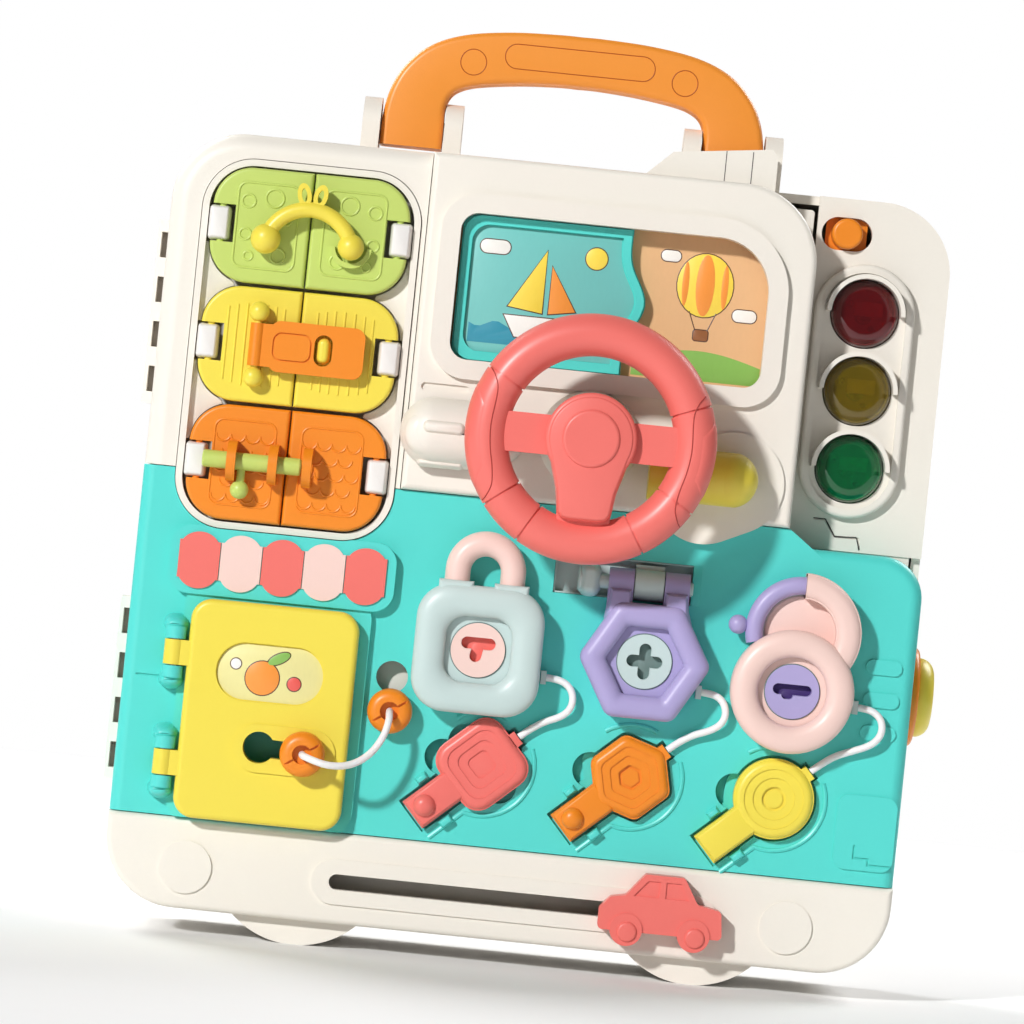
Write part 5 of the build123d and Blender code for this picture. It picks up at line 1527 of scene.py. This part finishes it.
@dataclass
class Locks(Assembly):
    """Round fronts and coloured keyways of the three locks, the axle's pocket and the ring."""

    floor: float = 6.3
    shoulder: float = 10.4
    crest: float = 14.2
    dial_radius: float = 9.15
    dial_face: float = 9.15
    square: Spot = (-14.3, 104.5)
    hex: Spot = (41.0, 106.3)
    round: Spot = (90.7, 101.3)
    ring: Spot = (91.9, 121.0)

    def slot_outline(self, centre: Spot, length: float, width: float, angle: float) -> list[Spot]:
        """A slot-shaped outline about a centre."""
        x, z = centre
        points = rounded(x - length / 2, x + length / 2, z - width / 2, z + width / 2, width / 2 - 0.01)
        return turned_spots(points, centre, angle)

    def keyway(self, name: str, berth: Berth, centre: Spot,
               wards: Sequence[tuple[float, float, float, float, float]]) -> None:
        """Lay a coloured floor in one keyway.

        Args:
            name: the pieces' name.
            berth: where they belong.
            centre: the dial's middle.
            wards: offset, size and angle of each slot.
        """
        for number, (x, z, length, width, angle) in enumerate(wards):
            outline = self.slot_outline((centre[0] + x, centre[1] + z), length - 0.2, width - 0.2, angle)
            self.plates(f"{name}_{number}", berth, [outline], self.floor - 0.2,
                        self.floor + 0.12 + 0.02 * number, 0.05)

    def cushion(self, name: str, berth: Berth, outer: Sequence[Spot], inner: Sequence[Spot]) -> None:
        """Round off the front of one lock's body.

        Args:
            name: the piece's name.
            berth: where it belongs.
            outer: the outline just outside the lock's front.
            inner: the outline just inside its dish.
        """
        shape = bmesh.new()
        add_band(shape, outer, inner, self.shoulder, self.crest)
        self.fit(from_bmesh(shape, name, ROUND_ANGLE), berth)

    def axle_pocket(self) -> None:
        """The pale tray behind the axle with its teal end, the lock's shoulders and the axle's knob."""
        left, right, low, high, wall = 8.6, 57.4, 126.1, 139.4, 0.5
        shape = bmesh.new()
        add_plate(shape, rounded(left, right, low, high, 0.5, 3), -5.95, -5.5, 0.1)
        for sides in ((left, right, high - wall, high), (left, right, low, low + wall),
                      (left, left + wall, low, high), (right - wall, right, low, high)):
            add_plate(shape, rounded(*sides, 0.2, 3), -5.9, -1.0, 0.1)
        self.fit(from_bmesh(shape, "axle_tray"), Berth("case", Paint.ICE_BLUE, "ice_blue"))
        self.plates("pocket_end", CASE_TEAL, [rounded(54.6, 57.7, 125.8, 139.7, 0.2, 3)], -5.6, -0.02, 0.05)
        shoulders = [(27.0, 130), (34.9, 130), (35.2, 124.6), (45.2, 124.6), (45.5, 130), (53.5, 130),
                     (54.2, 124), (55.8, 119.2), (52, 118.9), (30, 118.9), (26.2, 119.2), (26.7, 124)]
        self.pads("hex_lock_shoulders", Berth("lock_hex", Paint.LILAC, "lilac"), [shoulders], 4.0, 11.8, 1.6)
        self.pads("axle_knob", Berth("hex_axle", Paint.ICE_BLUE, "ice_blue"),
                  [rounded(16.4, 24.4, 125.8, 137.4, 3.6)], 0.0, 9.4, 3.0)

    def half_ring(self) -> None:
        """The round half of the ring that the shackle closes, and the disc inside it."""
        lines = [arc(self.ring, radius, range(-40, 91, 5)) for radius in (20.0, 11.3)]
        shape = bmesh.new()
        add_bow(shape, *lines, 3.0, 12.4, 3.4)
        berth = Berth("case", Paint.PINK, "pink")
        self.fit(from_bmesh(shape, "half_ring_front"), berth)
        self.pads("ring_disc", berth, [circle(self.ring, 13.2, 40)], 0.2, 4.6, 1.6)

    def build(self) -> None:
        """Colour the keyways, round off the locks, and ring each dial with painted shade."""
        x, z = self.square
        self.cushion("square_lock_front", Berth("case", Paint.ICE_BLUE, "ice_blue"),
                     rounded(x - 21.3, x + 21.3, z - 21.3, z + 21.3, 11.5, 12),
                     rounded(x - 10.9, x + 10.9, z - 10.9, z + 10.9, 6.4, 12))
        self.cushion("hex_lock_front", Berth("lock_hex", Paint.LILAC, "lilac"),
                     rounded_polygon(self.hex, 22.1, 6, 4.2), rounded_polygon(self.hex, 13.0, 6, 1.6))
        self.cushion("round_lock_front", Berth("case", Paint.PINK, "pink"), circle(self.round, 20.6, 56),
                     circle(self.round, 11.4, 56))
        self.axle_pocket()
        self.half_ring()
        for name, body, centre, slot in (("square", "case", self.square, "ice_blue"),
                                         ("hex", "lock_hex", self.hex, "lilac"),
                                         ("round", "case", self.round, "pink")):
            # A dark slate ring round each dial: painted shade for the shadow in the gap between dial and dish.
            gap = circle(centre, self.dial_radius, 48)
            self.lines(f"{name}_dial_shade_ring", Berth(body, Paint.SLATE, slot), [(gap, True)], self.dial_face,
                       0.22)
        self.keyway("square_keyway", Berth("dial_square", Paint.CORAL, "coral"), self.square,
                    ((0, 2.2, 11.5, 4.0, 0), (-0.4, -0.8, 6.5, 4.0, 80)))
        self.keyway("hex_keyway", Berth("dial_hex", Paint.SLATE, "ice_blue"), self.hex,
                    ((0, 0, 12, 4.0, 0), (0, 0, 12, 4.0, 90)))
        self.keyway("round_keyway", Berth("dial_round", Paint.DEEP_LILAC, "lilac"), self.round,
                    ((0, 0.6, 13, 3.6, 0), (-1.5, -1.2, 4, 2.8, 0)))


@dataclass
class Keys(Assembly):
    """Steps and nubs on the keys, and the ridges, clips and finger hollows beside them."""

    angle: float = 222.0
    back: float = -2.6
    face: float = 3.3
    half_stem: float = 5.5
    ridge_gap: float = 3.7
    head_ridge: float = 17.4
    size: float = 13.4
    shares: tuple[float, float, float, float] = (1.0, 0.74, 0.52, 0.3)
    hollow: float = 6.6
    keys: tuple[tuple[str, Spot, Paint, str], ...] = (
        ("square", (-9.1, 66.7), Paint.CORAL, "coral"), ("hex", (40.4, 67.3), Paint.ORANGE, "orange"),
        ("round", (88.6, 65.0), Paint.YELLOW, "yellow"),
    )

    def beside(self, centre: Spot, along: float, aside: float) -> Spot:
        """A spot by a key: so far along its stem, and so far to the lower right of it."""
        turn = math.radians(self.angle)
        return (centre[0] + along * math.cos(turn) - aside * math.sin(turn),
                centre[1] + along * math.sin(turn) + aside * math.cos(turn))

    def patch(self, centre: Spot, start: float, end: float, near: float, far: float) -> list[Spot]:
        """A rectangle laid along a key's stem."""
        return [self.beside(centre, *spot) for spot in ((start, near), (end, near), (end, far), (start, far))]

    def ridge(self, centre: Spot) -> list[tuple[list[Spot], bool]]:
        """The raised line round a key's lower right side, and a short one above its head.

        Args:
            centre: the key head's middle.

        Returns:
            The two lines.
        """
        side = self.half_stem + self.ridge_gap
        last = -48 - math.degrees(math.acos(side / self.head_ridge))
        low = arc(centre, self.head_ridge, (22 + (last - 22) * step / 24 for step in range(25)))
        low += [self.beside(centre, 22.0, side), self.beside(centre, 29.0, side)]
        return [(low, False), (arc(centre, self.head_ridge, range(64, 126, 4)), False)]

    def head(self, shape: str, centre: Spot, size: float) -> list[Spot]:
        """Outline of a key's head.

        Args:
            shape: "square", "hex" or "round".
            centre: its middle.
            size: half its width.

        Returns:
            The outline.
        """
        if shape == "square":
            half = 0.97 * size
            plain = rounded(centre[0] - half, centre[0] + half, centre[1] - half, centre[1] + half,
                            0.5 * size)
            return turned_spots(plain, centre, self.angle)
        if shape == "hex":
            return turned_spots(rounded_polygon(centre, 1.09 * size, 6, 0.32 * size), centre, self.angle)
        return circle(centre, 1.01 * size, 44)

    def square_key(self, centre: Spot) -> None:
        """The square key itself, with its head in line with its stem.

        Args:
            centre: its head's middle.
        """
        mesh = bmesh.new()
        for outline, back, fore in (
            (circle(centre, 11.0), self.back, 0.4),
            (self.head("square", centre, self.size), 0.06, self.face),
            (self.patch(centre, 4.0, 28.7, -self.half_stem, self.half_stem), self.back, self.face),
            (self.patch(centre, -15.0, -4.0, -2.5, 2.5), self.back, self.face),
        ):
            add_plate(mesh, outline, back, fore, 0.2)
        key = self.fit(from_bmesh(mesh, "key_square_body"), Berth("key_square", Paint.CORAL, "coral"))
        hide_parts("key_square")

    def build(self) -> None:
        """Add the soft fronts and small forms of the three keys."""
        self.square_key(self.keys[0][1])
        for shape, centre, paint, slot in self.keys:
            name = f"key_{shape}"
            front = bmesh.new()
            add_dome(front, self.patch(centre, 10.2, 28.8, -5.6, 5.6), 1.4, 4.5, 1.4)
            for number, (share, within) in enumerate(zip(self.shares, self.shares[1:])):
                outer, inner = (self.head(shape, centre, self.size * part) for part in (share, within))
                add_step(front, outer, inner, 1.4, 4.8 - 0.48 * number, 0.02 if number else 2.4)
            berth = Berth(name, paint, slot)
            self.fit(from_bmesh(front, f"{name}_front"), berth)
            if shape != "round":
                nub = circle(self.beside(centre, 23.6, -0.4), 3.8)
                self.pads(f"{name}_nub", berth, [nub], 4.1, 7.4, 3.2)
            self.lines(f"{name}_ridge", CASE_TEAL, self.ridge(centre), 0.0, 0.8)
            clips = [self.patch(centre, 18.6, 23.4, 6.7, 9.8), self.patch(centre, 16.8, 21.2, -9.4, -6.7)]
            self.pads(f"{name}_clips", CASE_TEAL, clips, -0.3, 3.4, 0.9)
            self.plates(f"{name}_hollow", CASE_TEAL,
                        [circle((centre[0] - 13.4, centre[1] + 1.0), self.hollow)], -5.6, -4.6, 0.2)


# ---- Studio ----------------------------------------------------------------------------------


@dataclass
class Studio:
    """A paper floor before white, a key light from the upper left and soft fill."""

    finishes: Finishes
    middle: float = -1.0
    radius: float = 1.7
    key_power: float = 147.0
    key_place: tuple[float, float, float] = (-2.04, -3.2, 1.64)
    fill_power: float = 1.5
    fill_place: tuple[float, float, float] = (1.3, -1.9, 0.5)
    sky: float = 0.1
    paper_power: float = 7.0

    def paper_floor(self) -> None:
        """The paper floor, a wide disc with a softly raised rim."""
        shape = bmesh.new()
        levels = ((0.3, 0.0), (0.8, 0.0), (1.5, 0.0), (self.radius, 0.0), (self.radius + 0.06, 0.01))
        rings = [[shape.verts.new((x, y, height)) for x, y in circle((0.0, self.middle), radius, 96)]
                 for radius, height in levels]
        shape.faces.new(rings[0])
        skin(shape, rings, caps=False)
        sheet = from_bmesh(shape, "paper_floor", ROUND_ANGLE)
        sheet.data.materials.append(self.finishes.of(Paint.PAPER))

    def lamp(self, name: str, place: Vector, size: float, power: float, target: Vector) -> None:
        """A round soft light.

        Args:
            name: its name.
            place: where it hangs.
            size: its diameter in metres.
            power: its power in watts.
            target: what it points at.
        """
        light = bpy.data.lights.new(name, "AREA")
        light.shape = "DISK"
        light.size = size
        light.energy = power
        holder = bpy.data.objects.new(name, light)
        holder.location = place
        holder.rotation_euler = (target - place).to_track_quat("-Z", "Y").to_euler()
        holder.visible_camera = False
        bpy.context.scene.collection.objects.link(holder)

    def build(self) -> None:
        """Lay the paper, hang the lights, and set a dim white sky that shows as white behind."""
        self.paper_floor()
        aim = at(0, 150, 0)
        self.lamp("key_light", aim + Vector(self.key_place), 0.28, self.key_power, aim)
        self.lamp("fill_light", aim + Vector(self.fill_place), 1.4, self.fill_power, aim)
        for side in (-1, 1):
            self.lamp(f"paper_light_{side + 2}", Vector((side * 0.6, 0.5, 0.75)), 0.5, self.paper_power,
                      Vector((side * 0.15, 0.4, 0.0)))
        world = bpy.data.worlds.new("studio")
        world.use_nodes = True
        nodes, links = world.node_tree.nodes, world.node_tree.links
        light, wall = nodes["Background"], nodes.new("ShaderNodeBackground")
        mix = nodes.new("ShaderNodeMixShader")
        light.inputs[0].default_value = (1.0, 0.99, 0.98, 1)
        light.inputs[1].default_value = self.sky
        wall.inputs[0].default_value = (1.0, 1.0, 1.0, 1)
        links.new(nodes.new("ShaderNodeLightPath").outputs["Is Camera Ray"], mix.inputs[0])
        links.new(light.outputs[0], mix.inputs[1])
        links.new(wall.outputs[0], mix.inputs[2])
        links.new(mix.outputs[0], nodes["World Output"].inputs[0])
        bpy.context.scene.world = world
        bpy.context.scene.view_settings.view_transform = "Standard"


def main() -> None:
    """Build everything in order."""
    logging.basicConfig(level=logging.INFO, format="%(name)s: %(message)s")
    finishes = Finishes()
    Camera().build()
    Cords(finishes).build()
    Studio(finishes).build()
    for kind in (Case, Handle, TrafficLamps, SlidingPicture, FixedPicture, ShopPicture, DoubleDoors, Steering,
                 Locks, Keys):
        kind(finishes).build()
        log.info("%s built", kind.__name__)


if __name__ == "__main__":
    main()
